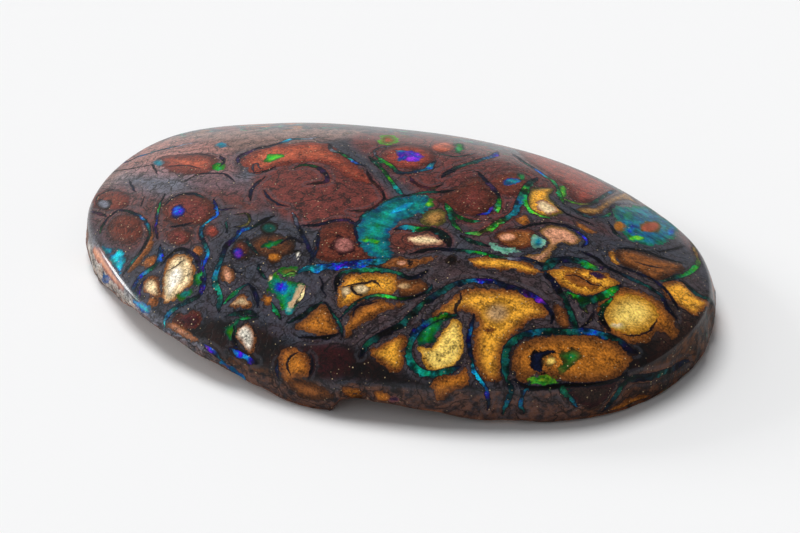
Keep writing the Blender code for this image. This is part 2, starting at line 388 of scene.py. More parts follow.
CORES = (
    spot("violet heart", T.ROYAL, (178, 211), 8, 6, T.PLUM, fire=1.0, turn=-15),
    Region("great cream core", T.CHALK, ((165, 279), (171, 268), (180, 264), (185, 271),
        (183, 281), (176, 290), (170, 297), (166, 296)), T.CREAM, 0.4),
    Region("left cyan patch", T.CYAN, ((102, 246), (112, 247), (114, 253), (118, 249),
        (125, 253), (124, 266), (120, 277), (116, 271), (113, 264), (108, 256)), T.LAGOON,
        0.25, fire=1.0),
    spot("violet spot", T.VIOLET, (238, 253), 6, 6, T.PLUM, fire=0.8),
    spot("teal bit", T.SEA, (269, 228), 9, 6, T.COFFEE, fire=0.7),
    Region("green streak", T.GREEN, ((262, 247), (268, 242), (276, 240), (284, 240),
        (277, 246), (268, 249)), T.SEA, 0.2, fire=1.0),
    spot("amber glow", T.AMBER, (274, 257), 8, 5, T.UMBER),
    spot("pearly bit", T.CHALK, (298, 256), 3, 5, T.SOOT),
    Region("green leaf", T.GREEN, ((194, 278), (199, 270), (205, 272), (204, 281), (198, 288)),
        T.SEA, 0.2, fire=1.0),
    spot("cyan leaf", T.TEAL, (185, 294), 7, 4, T.GREEN, fire=1.0, turn=-25),
    Region("green flank", T.GREEN, ((224, 332), (231, 323), (242, 318), (237, 326), (235, 335),
        (230, 341)), T.SEA, 0.25, fire=1.0),
    Region("opal patch", T.TEAL, ((268, 288), (267, 281), (276, 275), (286, 282), (296, 282),
        (305, 286), (303, 299), (296, 307), (288, 313), (282, 307), (277, 299), (271, 294)),
        T.GREEN, 0.4, fire=1.0),
    spot("orange crumb", T.AMBER, (268, 300), 5, 5, T.CHESTNUT),
    spot("cream crumb", T.CREAM, (271, 279), 4, 4, T.OCHRE),
    spot("olive crumb", T.OLIVE, (290, 272), 10, 5, T.GREEN, fire=0.5),
    spot("cream crumb in honey", T.CREAM, (346, 291), 5, 5, T.DRAB),
    spot("second cream crumb in honey", T.CREAM, (361, 289), 9, 6, T.OCHRE),
    spot("drab heart", T.DRAB, (497, 313), 16, 13, T.HONEY),
    spot("dark crumb", T.UMBER, (489, 330), 6, 4, T.AMBER),
    spot("grey crumb", T.DRAB, (404, 286), 8, 4, T.CHESTNUT),
    Region("heart's green", T.GREEN, ((420, 330), (432, 321), (452, 315), (444, 325),
        (437, 336), (435, 342), (427, 344), (418, 343)), T.SEA, 0.35, fire=1.0),
    spot("salmon crumb", T.SALMON, (402, 263), 6, 3, T.RUST),
    spot("hole", T.SOOT, (409, 263), 3, 4, T.COFFEE),
    spot("dark oval", T.SOOT, (452, 260), 6, 5, T.COFFEE),
    Region("white-green streak", T.GREEN, ((489, 243), (498, 246), (509, 248), (522, 252),
        (512, 253), (501, 252), (493, 249)), T.MINT, 0.25, fire=1.0),
    Region("salmon scrap", T.SALMON, ((497, 236), (506, 232), (516, 234), (517, 239),
        (510, 242), (501, 241)), T.RUST, 0.25),
    spot("pale teal bit", T.LAGOON, (538, 242), 7, 6, T.MINT, fire=1.0),
    spot("green ring", T.OLIVE, (388, 140), 10, 5, T.LIME, fire=0.4),
    Region("blue-violet spot", T.VIOLET, ((398, 152), (406, 151), (416, 152), (423, 156),
        (420, 160), (410, 162), (402, 160), (397, 156)), T.VIOLET, 0.3, fire=1.0),
    spot("green bit back", T.GREEN, (459, 148), 5, 5, T.SEA, fire=0.8, turn=50),
    spot("green bit left", T.GREEN, (218, 167), 5, 5, T.GREEN, fire=0.9),
    Region("lime bit in ember", T.LIME, ((264, 158), (271, 154), (287, 155), (276, 160),
        (269, 163)), T.GREEN, 0.25, fire=0.9),
    spot("cyan bit left", T.LAGOON, (222, 145), 6, 3, T.SLATE, fire=0.6),
    spot("teal bit left", T.LAGOON, (158, 163), 5, 3, T.SLATE, fire=0.5),
    spot("ring crumb left", T.SLATE, (104, 204), 7, 5, T.COFFEE),
    spot("rose heart", T.ROSE, (344, 245), 12, 9, T.WINE),
    Region("teal crescent", T.TEAL, ((356, 231), (359, 221), (367, 213), (380, 205), (394, 199),
        (408, 196), (421, 196), (430, 199), (432, 205), (427, 210), (418, 213), (405, 218),
        (397, 225), (391, 234), (389, 244), (393, 253), (391, 258), (380, 259), (368, 254),
        (360, 244)), T.LAGOON, 0.8, fire=1.0),
    spot("teal spot", T.LAGOON, (511, 182), 8, 4, T.ROYAL, fire=1.0),
    spot("green crumb", T.GREEN, (522, 177), 4, 3, T.SEA, fire=0.7),
    Region("hook's cream", T.CREAM, ((538, 201), (545, 201), (558, 210), (547, 214),
        (537, 207)), T.SALMON, 0.2),
    spot("lime bit right", T.LIME, (563, 191), 4, 6, T.GREEN, fire=0.9),
    Region("blue-green patch", T.LAGOON, ((615, 216), (613, 209), (618, 206), (628, 207),
        (639, 206), (650, 207), (661, 214), (672, 222), (678, 229), (674, 237), (664, 243),
        (653, 246), (640, 243), (629, 240), (625, 233), (618, 229)), T.TEAL, 0.5, fire=1.0),
    Region("brown core of the eye", T.CHESTNUT, ((564, 272), (577, 273), (591, 281), (599, 285),
        (589, 289), (573, 284), (565, 280)), T.AMBER, 0.3),
    spot("plum bit", T.PLUM, (597, 275), 9, 4, T.CHESTNUT, fire=0.4, turn=15),
    Region("egg", T.STRAW, ((603, 317), (605, 307), (612, 299), (624, 294), (639, 296),
        (650, 302), (656, 309), (658, 318), (650, 328), (637, 333), (623, 333), (611, 328)),
        T.HONEY, 0.9),
    Region("navy hook", T.NAVY, ((530, 362), (533, 353), (543, 351), (553, 349), (555, 353),
        (544, 356), (542, 364), (544, 373), (535, 373), (531, 368)), T.SOOT, 0.15),
    Region("green flame", T.GREEN, ((557, 355), (569, 350), (577, 351), (580, 358), (571, 368),
        (563, 374), (558, 367), (563, 361)), T.OLIVE, 0.35, fire=1.0),
    Region("green foot", T.GREEN, ((532, 377), (546, 377), (559, 383), (562, 390), (552, 391),
        (541, 386), (531, 384)), T.LIME, 0.3, fire=1.0),
    spot("straw bit", T.STRAW, (551, 361), 6, 5, T.OCHRE),
    spot("wall blue left", T.SLATE, (107, 279), 5, 4, T.BLUE, fire=0.5),
    Region("wall cyan left", T.CYAN, ((132, 303), (137, 300), (149, 308), (148, 315),
        (139, 309)), T.BLUE, 0.2, fire=1.0),
    Region("wall blue strip", T.LAGOON, ((220, 359), (230, 366), (244, 376), (247, 381),
        (233, 376), (223, 368)), T.BLUE, 0.2, fire=1.0),
    spot("wall plum", T.PLUM, (394, 399), 6, 3, T.ROSE, fire=0.3),
)

SPARKS = (
    # Painted highlight: this pale salmon patch along the bevel at the left end paints the edge
    # light's glint into the colour.
    Region("painted glint at the left edge", T.SALMON, ((94, 246), (100, 250), (106, 260), (114, 273), (124, 287),
        (121, 290), (110, 278), (101, 266), (94, 256)), T.ROSE, 0.2),
    Region("pink edge of the patch", T.SALMON, ((301, 284), (303, 290), (299, 299), (293, 307),
        (288, 309), (289, 302), (294, 295), (298, 287)), T.CREAM, 0.3),
    spot("royal heart", T.ROYAL, (281, 287), 7, 6, T.BLUE, fire=1.0),
    spot("bright tip", T.MINT, (289, 310), 4, 3, T.CYAN, fire=1.0),
    spot("left blue of the spot", T.ROYAL, (402, 156), 6, 5, T.BLUE, fire=1.0),
    spot("green gleam", T.LIME, (372, 241), 9, 3, T.GREEN, fire=1.0),
    spot("cyan gleam", T.CYAN, (402, 208), 14, 4, T.LAGOON, fire=1.0, turn=-25),
    spot("lime end", T.LIME, (429, 203), 4, 4, T.GREEN, fire=1.0),
    spot("ember core", T.EMBER, (388, 140), 4, 2, T.AMBER),
    spot("patch core", T.EMBER, (650, 227), 11, 6, T.OLIVE),
    spot("patch triangle", T.AMBER, (619, 226), 6, 5, T.OCHRE),
    spot("patch blue", T.BLUE, (631, 229), 5, 5, T.LAGOON, fire=1.0),
    spot("patch cyan", T.TEAL, (628, 216), 7, 5, T.LAGOON, fire=1.0),
    spot("patch green", T.LIME, (636, 238), 8, 3, T.GREEN, fire=1.0),
    spot("patch far blue", T.BLUE, (671, 231), 5, 5, T.LAGOON, fire=1.0),
    spot("pale heart of the egg", T.CREAM, (617, 325), 7, 4, T.STRAW),
    spot("lime foot", T.LIME, (542, 380), 5, 3, T.GREEN, fire=1.0),
)

SEAMS = (
    Seam("back left seam", (T.PLUM, T.PLUM, T.NAVY, T.LAGOON, T.LAGOON, T.SLATE, T.SLATE),
        ((109, 170), (118, 166), (129, 161), (139, 156), (147, 154), (160, 150), (169, 148),
        (182, 145), (198, 142)), 0.35),
    Seam("back left crack", (T.SOOT,), ((110, 170), (128, 169), (141, 167), (152, 165),
        (155, 170), (158, 174)), 0.2),
    Seam("lens crack", (T.WINE,), ((169, 166), (188, 166), (200, 168)), 0.2),
    Seam("upper lens crack", (T.WINE,), ((185, 155), (198, 154), (212, 156)), 0.2),
    Seam("under the lens", (T.COFFEE, T.NAVY), ((185, 181), (192, 177), (200, 174), (212, 173),
        (219, 173), (227, 175), (234, 181)), 0.25),
    Seam("green bit's stem", (T.PLUM, T.NAVY), ((220, 156), (224, 161), (220, 166)), 0.4),
    Seam("left tick", (T.NAVY,), ((129, 181), (133, 188), (136, 191)), 0.25),
    Seam("left tick below", (T.SOOT,), ((144, 197), (141, 206)), 0.22),
    Seam("left edge arc", (T.SOOT, T.SEA, T.SOOT), ((96, 202), (98, 196), (105, 192),
        (114, 189)), 0.25),
    Seam("left edge line", (T.PLUM, T.WINE), ((89, 212), (98, 213), (107, 216)), 0.3),
    Seam("disc ring", (T.GREEN, T.NAVY, T.PLUM, T.SOOT, T.SEA, T.BLUE, T.LAGOON, T.SEA, T.SOOT,
        T.SOOT, T.SEA, T.SOOT), ((100, 233), (103, 225), (109, 217), (117, 211), (126, 211),
        (133, 213), (142, 218), (148, 225), (149, 236), (144, 247), (137, 257), (128, 268),
        (124, 274)), 0.36),
    Seam("violet seam", (T.SOOT, T.SEA, T.GREEN, T.VIOLET, T.PLUM, T.SOOT), ((165, 194),
        (160, 203), (158, 212), (156, 222), (156, 231), (158, 238)), 0.34),
    Seam("nodule arc", (T.SOOT, T.NAVY, T.NAVY, T.SEA), ((165, 205), (174, 197), (185, 194),
        (195, 194), (204, 198)), 0.34),
    Seam("under the nodule", (T.NAVY,), ((171, 227), (179, 226), (191, 223)), 0.36),
    Seam("blue hook", (T.NAVY, T.ROYAL, T.ROYAL, T.BLUE, T.CYAN, T.LAGOON, T.NAVY, T.SEA,
        T.LAGOON, T.BLUE, T.ROYAL), ((214, 200), (216, 209), (217, 215), (210, 220), (203, 226),
        (201, 232), (202, 238), (206, 246), (208, 254), (205, 262), (203, 270)), 0.45),
    Seam("teal sweep", (T.SEA, T.NAVY, T.ROYAL, T.NAVY, T.SEA, T.LAGOON, T.SEA, T.LAGOON,
        T.CYAN), ((205, 270), (203, 287), (199, 295), (191, 300), (182, 304), (172, 311),
        (166, 318), (164, 326)), 0.6),
    Seam("hook's side branch", (T.PLUM, T.NAVY), ((217, 210), (226, 209), (236, 208)), 0.2),
    Seam("thick seam", (T.SOOT, T.SOOT, T.SEA, T.BLUE, T.ROYAL, T.NAVY, T.NAVY, T.CYAN,
        T.LAGOON, T.SEA, T.TEAL, T.SEA, T.SOOT), ((273, 216), (262, 222), (252, 227), (241, 231),
        (236, 237), (231, 242), (226, 247), (223, 254), (220, 262), (217, 270), (215, 279),
        (217, 287), (220, 296), (220, 304), (219, 311)), 0.62),
    Seam("olive arc", (T.COFFEE, T.OLIVE, T.OLIVE, T.COFFEE), ((236, 214), (247, 214),
        (250, 219), (246, 225), (235, 227)), 0.35),
    Seam("dark comma", (T.SEA, T.SOOT), ((226, 222), (227, 232)), 0.4),
    Seam("streak's left wing", (T.SOOT, T.SEA), ((246, 239), (251, 246), (257, 254)), 0.36),
    Seam("streak's right wing", (T.COFFEE, T.SOOT), ((281, 243), (291, 238), (302, 243)), 0.3),
    Seam("dark blue seam", (T.SLATE, T.NAVY, T.NAVY, T.NAVY), ((293, 213), (298, 226),
        (303, 236), (308, 245), (311, 254), (311, 262)), 0.42),
    Seam("its twin", (T.NAVY,), ((319, 233), (318, 244), (315, 254), (311, 262)), 0.3),
    Seam("navy lens", (T.NAVY, T.NAVY, T.PLUM, T.NAVY), ((303, 225), (317, 225), (332, 221),
        (348, 220), (357, 226)), 0.45),
    Seam("curl's left arm", (T.SOOT, T.NAVY, T.COFFEE), ((250, 200), (251, 191), (257, 183),
        (265, 177)), 0.36),
    Seam("curl's spur", (T.COFFEE, T.WINE), ((254, 173), (265, 171), (275, 167)), 0.32),
    Seam("small hook", (T.NAVY, T.SLATE), ((253, 172), (253, 166), (257, 163), (260, 169)), 0.2),
    Seam("great curl", (T.SEA, T.GREEN, T.SOOT, T.PLUM, T.PLUM, T.WINE, T.WINE), ((295, 168),
        (303, 165), (313, 166), (321, 169), (326, 175), (327, 181), (319, 183), (308, 184)),
        0.5),
    Seam("inner line", (T.NAVY,), ((264, 191), (270, 199), (278, 204), (288, 206)), 0.28),
    Seam("violet back seam", (T.PLUM, T.PLUM, T.PLUM, T.PLUM, T.NAVY, T.CYAN, T.SLATE, T.SLATE),
        ((238, 163), (240, 156), (249, 152), (259, 148), (271, 146), (283, 142), (292, 139),
        (306, 139), (320, 137)), 0.55),
    Seam("cream nodule's roof", (T.SOOT, T.SOOT, T.NAVY, T.PLUM), ((162, 264), (169, 256),
        (179, 249), (190, 252), (198, 259), (199, 272)), 0.45),
    Seam("small cream's collar", (T.SEA, T.NAVY, T.BLUE, T.GREEN, T.BLUE, T.SOOT), ((137, 300),
        (133, 292), (136, 283), (142, 275), (149, 270), (156, 265), (160, 256), (160, 246)),
        0.62),
    Seam("inner collar", (T.NAVY, T.ROYAL, T.NAVY), ((139, 297), (140, 288), (146, 277)), 0.3),
    Seam("crumb crack", (T.SOOT,), ((232, 268), (236, 272), (240, 273)), 0.25),
    Seam("cream vein", (T.CHESTNUT, T.COFFEE), ((168, 271), (176, 266), (182, 262)), 0.12),
    Seam("corner's green", (T.GREEN, T.GREEN, T.SEA, T.NAVY), ((225, 302), (233, 294),
        (241, 288), (248, 284)), 0.5),
    Seam("corner's navy", (T.NAVY,), ((248, 284), (253, 289), (257, 297), (258, 306)), 0.42),
    Seam("corner's base", (T.SEA, T.SOOT, T.SEA), ((227, 316), (238, 313), (251, 312),
        (256, 314)), 0.5),
    Seam("flank's tail", (T.GREEN, T.SEA), ((240, 319), (249, 318), (258, 317)), 0.4),
    Seam("blue under chalk", (T.NAVY, T.BLUE, T.BLUE, T.NAVY), ((231, 349), (240, 355),
        (250, 360), (256, 362)), 0.7),
    Seam("chalk's shadow", (T.SOOT,), ((234, 327), (233, 337), (238, 347)), 0.4),
    Seam("navy by amber", (T.NAVY,), ((277, 362), (277, 370), (278, 378)), 0.45),
    Seam("amber's ring", (T.SOOT, T.COFFEE), ((290, 374), (287, 366), (290, 357), (297, 353)),
        0.25),
    Seam("amber's right ring", (T.SOOT,), ((311, 356), (312, 368), (308, 378)), 0.3),
    Seam("opal's left fringe", (T.SEA, T.SOOT, T.SEA), ((258, 265), (260, 272), (266, 278)),
        0.45),
    Seam("opal's salmon edge", (T.SALMON, T.CREAM, T.SALMON), ((305, 286), (302, 297),
        (295, 305)), 0.4),
    Seam("stem to the opal", (T.SEA, T.GREEN, T.SOOT), ((272, 303), (276, 311), (281, 318)),
        0.5),
    Seam("bright blue seam", (T.CYAN, T.CYAN, T.BLUE, T.BLUE, T.BLUE, T.BLUE, T.LAGOON,
        T.SEA), ((300, 271), (306, 269), (318, 268), (330, 267), (348, 265), (364, 263),
        (377, 262), (388, 259)), 1.0),
    Seam("green nick at its start", (T.GREEN, T.OLIVE), ((284, 276), (292, 273), (298, 272)),
        0.5),
    Seam("over the honey", (T.SOOT, T.SOOT, T.SEA, T.GREEN, T.SEA, T.SEA, T.NAVY, T.SOOT),
        ((336, 290), (337, 279), (343, 273), (352, 271), (364, 270), (376, 270), (384, 270),
        (392, 272), (400, 274), (406, 277), (412, 278), (419, 276), (427, 271)), 0.55),
    Seam("honey crack", (T.SOOT,), ((352, 284), (351, 288), (355, 293), (361, 295)), 0.22),
    Seam("honey upper crack", (T.COFFEE,), ((344, 287), (354, 284), (366, 283), (374, 281),
        (380, 286)), 0.22),
    Seam("under the honey", (T.NAVY, T.SEA, T.SOOT, T.SEA, T.LIME, T.GREEN, T.SOOT, T.SOOT,
        T.SEA), ((341, 318), (348, 310), (357, 302), (369, 297), (380, 295), (392, 297),
        (402, 299), (418, 296), (428, 291), (431, 285)), 0.42),
    Seam("shelf line", (T.COFFEE, T.SOOT), ((353, 316), (357, 308), (366, 304), (376, 302)),
        0.25),
    Seam("wedge's left edge", (T.SEA, T.SOOT, T.SEA), ((289, 322), (300, 317), (310, 310),
        (321, 303)), 0.55),
    Seam("wedge's right edge", (T.SOOT, T.SEA, T.SOOT), ((326, 303), (330, 311), (338, 321),
        (342, 329), (342, 337)), 0.36),
    Seam("wedge's foot", (T.SOOT,), ((300, 337), (318, 338), (332, 336), (340, 333)), 0.4),
    Seam("grey area crack", (T.SOOT,), ((320, 277), (323, 284), (322, 290), (326, 295)), 0.22),
    Seam("long upper seam", (T.NAVY, T.SEA, T.SOOT, T.SOOT, T.SEA, T.SOOT, T.SEA, T.NAVY, T.SEA,
        T.NAVY, T.LAGOON, T.ROYAL, T.NAVY, T.NAVY, T.NAVY, T.VIOLET, T.NAVY), ((361, 355),
        (367, 345), (377, 337), (389, 331), (402, 324), (410, 316), (419, 308), (428, 300),
        (437, 294), (447, 288), (459, 283), (472, 281), (484, 281), (495, 282), (506, 286),
        (517, 289), (527, 293), (536, 298), (547, 305)), 0.72),
    Seam("mint streak", (T.SLATE, T.MINT, T.MINT, T.SLATE), ((497, 282), (504, 285), (511, 288),
        (519, 287)), 0.3),
    Seam("heart's ring", (T.SEA, T.GREEN, T.SEA, T.BLUE, T.SEA, T.SEA, T.TEAL, T.TEAL, T.TEAL,
        T.SEA, T.NAVY), ((455, 316), (443, 316), (432, 320), (421, 327), (414, 336), (409, 346),
        (409, 357), (415, 367), (424, 373), (435, 374), (447, 371), (459, 367)), 0.75),
    Seam("vertical seam", (T.SOOT, T.NAVY, T.BLUE, T.NAVY, T.NAVY, T.CYAN, T.CYAN, T.BLUE,
        T.NAVY, T.NAVY), ((474, 315), (471, 328), (469, 339), (470, 352), (472, 364), (475, 372),
        (480, 380), (485, 387), (488, 396), (488, 409)), 0.42),
    Seam("field's fold", (T.COFFEE,), ((461, 294), (459, 302), (455, 310), (459, 316)), 0.3),
    Seam("line of the middle", (T.SOOT, T.SOOT, T.NAVY, T.NAVY, T.SEA, T.GREEN, T.GREEN,
        T.SLATE, T.NAVY, T.NAVY, T.NAVY), ((411, 254), (427, 250), (439, 249), (456, 250),
        (475, 252), (485, 254), (498, 257), (512, 259), (523, 258), (536, 262), (546, 268)),
        0.5),
    Seam("pale nick", (T.MINT, T.SLATE), ((497, 255), (505, 258), (512, 261)), 0.2),
    Seam("crescent's outer rim", (T.NAVY, T.NAVY, T.SEA, T.SEA, T.SOOT), ((360, 246),
        (355, 231), (359, 220), (367, 212), (380, 204), (394, 198), (408, 195), (424, 193)),
        0.26),
    Seam("crescent's roof", (T.SEA, T.SEA, T.SOOT, T.SOOT), ((412, 195), (428, 192), (441, 192),
        (454, 190)), 0.5),
    Seam("cream bar's roof", (T.NAVY, T.LAGOON, T.GREEN, T.SOOT, T.SEA, T.SOOT, T.SOOT),
        ((396, 229), (406, 227), (418, 229), (428, 229), (437, 231), (446, 237), (450, 246)),
        0.85),
    Seam("maroon's right crack", (T.SOOT, T.WINE, T.WINE, T.WINE, T.COFFEE), ((367, 170),
        (371, 179), (379, 187), (384, 195), (384, 200), (378, 205), (370, 209), (360, 211),
        (350, 211)), 0.3),
    Seam("green-blue nick", (T.PLUM, T.SLATE, T.SEA, T.GREEN, T.BLUE, T.SOOT), ((329, 144),
        (332, 150), (342, 154), (348, 158), (356, 163), (364, 166)), 0.45),
    Seam("teal branch", (T.SEA, T.SEA, T.GREEN, T.GREEN, T.TEAL, T.TEAL), ((369, 157),
        (376, 164), (384, 171), (389, 179), (396, 187), (403, 195)), 0.5),
    Seam("top arc", (T.SLATE, T.SOOT, T.SLATE), ((375, 156), (375, 151), (382, 147),
        (395, 146)), 0.36),
    Seam("green arc", (T.SEA, T.GREEN, T.GREEN, T.SEA, T.NAVY, T.NAVY, T.LAGOON, T.LAGOON,
        T.NAVY), ((376, 156), (383, 161), (391, 166), (396, 171), (403, 173), (411, 173),
        (418, 171), (427, 169), (435, 161)), 0.62),
    Seam("thin green line", (T.SEA, T.SEA, T.SLATE), ((438, 153), (450, 156), (463, 156),
        (476, 153)), 0.3),
    Seam("navy-teal seam", (T.NAVY, T.NAVY, T.SEA, T.SEA, T.LAGOON, T.BLUE, T.PLUM), ((442, 177),
        (450, 171), (459, 167), (471, 163), (483, 159), (493, 156), (498, 152)), 0.62),
    Seam("wine arc", (T.PLUM, T.WINE, T.WINE, T.COFFEE), ((410, 177), (415, 183), (423, 187),
        (432, 188), (441, 185)), 0.4),
    Seam("plum's right seam", (T.SOOT, T.NAVY, T.PLUM, T.NAVY, T.GREEN, T.LIME), ((478, 172),
        (485, 180), (493, 188), (498, 196), (499, 204), (498, 212)), 0.55),
    Seam("plum's blue", (T.PLUM, T.ROYAL, T.NAVY), ((494, 206), (487, 213), (478, 215)), 0.5),
    Seam("plum's green foot", (T.GREEN, T.GREEN, T.SEA, T.GREEN, T.GREEN, T.SEA), ((446, 204),
        (452, 213), (461, 218), (469, 221), (479, 221)), 0.7),
    Seam("scrap's green", (T.GREEN, T.SEA, T.GREEN, T.COFFEE), ((448, 208), (451, 216),
        (455, 225), (462, 232)), 0.5),
    Seam("long green arc", (T.GREEN, T.OLIVE, T.LIME, T.SEA, T.LAGOON, T.LAGOON, T.SEA,
        T.GREEN, T.SEA, T.NAVY), ((467, 233), (480, 233), (491, 228), (499, 222), (507, 218),
        (515, 212), (518, 204), (523, 193), (528, 185), (537, 178)), 0.75),
    Seam("green under it", (T.COFFEE, T.SEA, T.SEA, T.SOOT), ((462, 236), (470, 241),
        (480, 244), (488, 246)), 0.7),
    Seam("shoulder seam", (T.SLATE, T.NAVY, T.SEA, T.BLUE, T.GREEN, T.SEA, T.GREEN, T.SOOT),
        ((513, 154), (524, 162), (535, 169), (546, 177), (554, 182), (558, 190), (561, 198),
        (564, 204)), 0.5),
    Seam("shoulder arc", (T.LIME, T.OLIVE, T.SEA, T.SEA, T.SEA, T.LAGOON, T.SLATE), ((565, 199),
        (572, 202), (580, 204), (591, 204), (599, 199), (607, 194), (615, 190)), 0.5),
    Seam("hook's green", (T.SEA, T.GREEN, T.GREEN, T.LIME, T.GREEN), ((529, 188), (525, 199),
        (529, 209), (538, 215), (549, 218)), 0.5),
    Seam("ribbon's foot", (T.NAVY, T.SEA, T.PLUM, T.SEA, T.GREEN), ((571, 208), (580, 213),
        (589, 217), (597, 217), (605, 216), (611, 213)), 0.4),
    Seam("hook's tail", (T.SOOT,), ((555, 205), (566, 213), (578, 219), (592, 224)), 0.3),
    Seam("ochre rim strip", (T.OCHRE, T.OCHRE, T.OCHRE, T.OLIVE), ((684, 230), (691, 240),
        (695, 250), (697, 258)), 0.6),
    Seam("green rim strip", (T.OLIVE, T.GREEN, T.GREEN, T.SEA, T.SEA), ((698, 258), (698, 264),
        (690, 272), (677, 277), (661, 281)), 0.62),
    Seam("black line over lens", (T.SOOT,), ((619, 248), (638, 250), (653, 254), (669, 260),
        (681, 263)), 0.5),
    Seam("black side line", (T.SOOT,), ((657, 252), (670, 250), (684, 246)), 0.3),
    Seam("lens crack right", (T.COFFEE,), ((636, 262), (650, 266), (662, 268)), 0.2),
    Seam("salmon's roof", (T.SOOT, T.SOOT, T.SOOT, T.NAVY, T.ROYAL, T.NAVY), ((519, 229),
        (532, 225), (546, 223), (564, 225), (575, 230), (583, 236), (587, 242), (582, 247)),
        0.4),
    Seam("patch's left edge", (T.NAVY, T.SOOT, T.SEA), ((609, 222), (615, 232), (624, 239)),
        0.4),
    Seam("patch's roof", (T.NAVY, T.PLUM, T.SLATE), ((612, 216), (611, 208), (618, 204),
        (631, 204)), 0.36),
    Seam("black diagonal", (T.NAVY, T.SOOT, T.NAVY, T.SEA, T.NAVY, T.SOOT), ((580, 251),
        (596, 258), (605, 266), (621, 274), (635, 280), (647, 286), (658, 293), (664, 300),
        (668, 308), (676, 318)), 0.5),
    Seam("its upper twin", (T.SOOT, T.NAVY, T.SOOT), ((619, 266), (635, 272), (652, 279),
        (664, 288), (673, 300), (678, 309)), 0.4),
    Seam("dark green right", (T.SOOT, T.SEA, T.SEA, T.SOOT), ((682, 281), (691, 289),
        (702, 297), (713, 304)), 0.6),
    Seam("egg's green", (T.GREEN, T.GREEN, T.SEA, T.SOOT, T.COFFEE), ((612, 299), (604, 306),
        (601, 315), (604, 323), (610, 330)), 0.6),
    Seam("egg's shadow line", (T.UMBER, T.COFFEE, T.UMBER), ((657, 320), (650, 330), (637, 335),
        (623, 335)), 0.2),
    Seam("eye's teal roof", (T.SEA, T.SEA, T.NAVY, T.NAVY, T.SEA, T.GREEN, T.PLUM), ((545, 269),
        (552, 262), (562, 260), (573, 260), (583, 263), (592, 267), (600, 268)), 1.1),
    Seam("eye's green foot", (T.GREEN, T.GREEN, T.SEA, T.GREEN, T.GREEN, T.NAVY), ((570, 293),
        (579, 299), (589, 300), (599, 298), (609, 293), (619, 286)), 0.95),
    Seam("green drip", (T.GREEN, T.SEA, T.OLIVE), ((579, 300), (583, 306), (587, 312)), 0.7),
    Seam("eye's inner line", (T.SOOT,), ((566, 275), (576, 276), (590, 283), (598, 286)), 0.18),
    Seam("seam down the middle", (T.NAVY, T.NAVY, T.SOOT, T.SEA, T.SEA, T.SEA), ((543, 271),
        (552, 280), (559, 290), (566, 302), (570, 312), (575, 324), (577, 331)), 0.62),
    Seam("field's right edge", (T.SOOT, T.NAVY, T.SOOT), ((541, 301), (549, 309), (553, 317),
        (551, 323)), 0.4),
    Seam("great teal ring", (T.SEA, T.SEA, T.SEA, T.SEA, T.LAGOON, T.SEA, T.SEA, T.SEA, T.BLUE,
        T.SEA, T.NAVY, T.SOOT), ((507, 380), (505, 365), (506, 352), (512, 342), (522, 336),
        (537, 332), (553, 331), (569, 332), (585, 331), (599, 334), (612, 338), (622, 343),
        (629, 350), (636, 352)), 0.78),
    Seam("seam to the egg", (T.SOOT, T.COFFEE), ((577, 331), (588, 322), (594, 312)), 0.3),
    Seam("wall seam left", (T.SEA, T.LAGOON, T.SEA), ((507, 380), (511, 391), (507, 402),
        (503, 413)), 0.6),
    Seam("wall seam middle", (T.SEA, T.LAGOON, T.SEA), ((530, 383), (524, 393), (521, 405),
        (524, 413)), 0.4),
    Seam("wall seam right", (T.GREEN, T.SEA, T.LAGOON), ((559, 384), (567, 395), (577, 406)),
        0.45),
    Seam("wall band", (T.NAVY, T.SEA, T.NAVY, T.SEA, T.NAVY, T.NAVY), ((602, 412), (612, 401),
        (621, 388), (631, 379), (644, 377), (660, 374), (675, 367), (688, 361)), 0.7),
    Seam("wall navy", (T.NAVY, T.ROYAL, T.NAVY, T.LAGOON), ((203, 344), (210, 349), (217, 355),
        (224, 362)), 0.5),
    Seam("lens's foot", (T.SOOT,), ((514, 380), (524, 386), (540, 388), (562, 385), (590, 385),
        (614, 381), (626, 374)), 0.4),
)


def curve_at(
    before: Value, first: Value, second: Value, after: Value, share: float
) -> Value:
    """A smooth curve's value between its first and second of four neighbouring values.

    Args:
        before: The value before the stretch.
        first: The value at its start.
        second: The value at its end.
        after: The value after it.
        share: How far along the stretch, from 0 to 1.

    Returns:
        The value there.
    """
    return 0.5 * (
        2 * first
        + (second - before) * share
        + (2 * before - 5 * first + 4 * second - after) * share**2
        + (3 * first - before - 3 * second + after) * share**3
    )


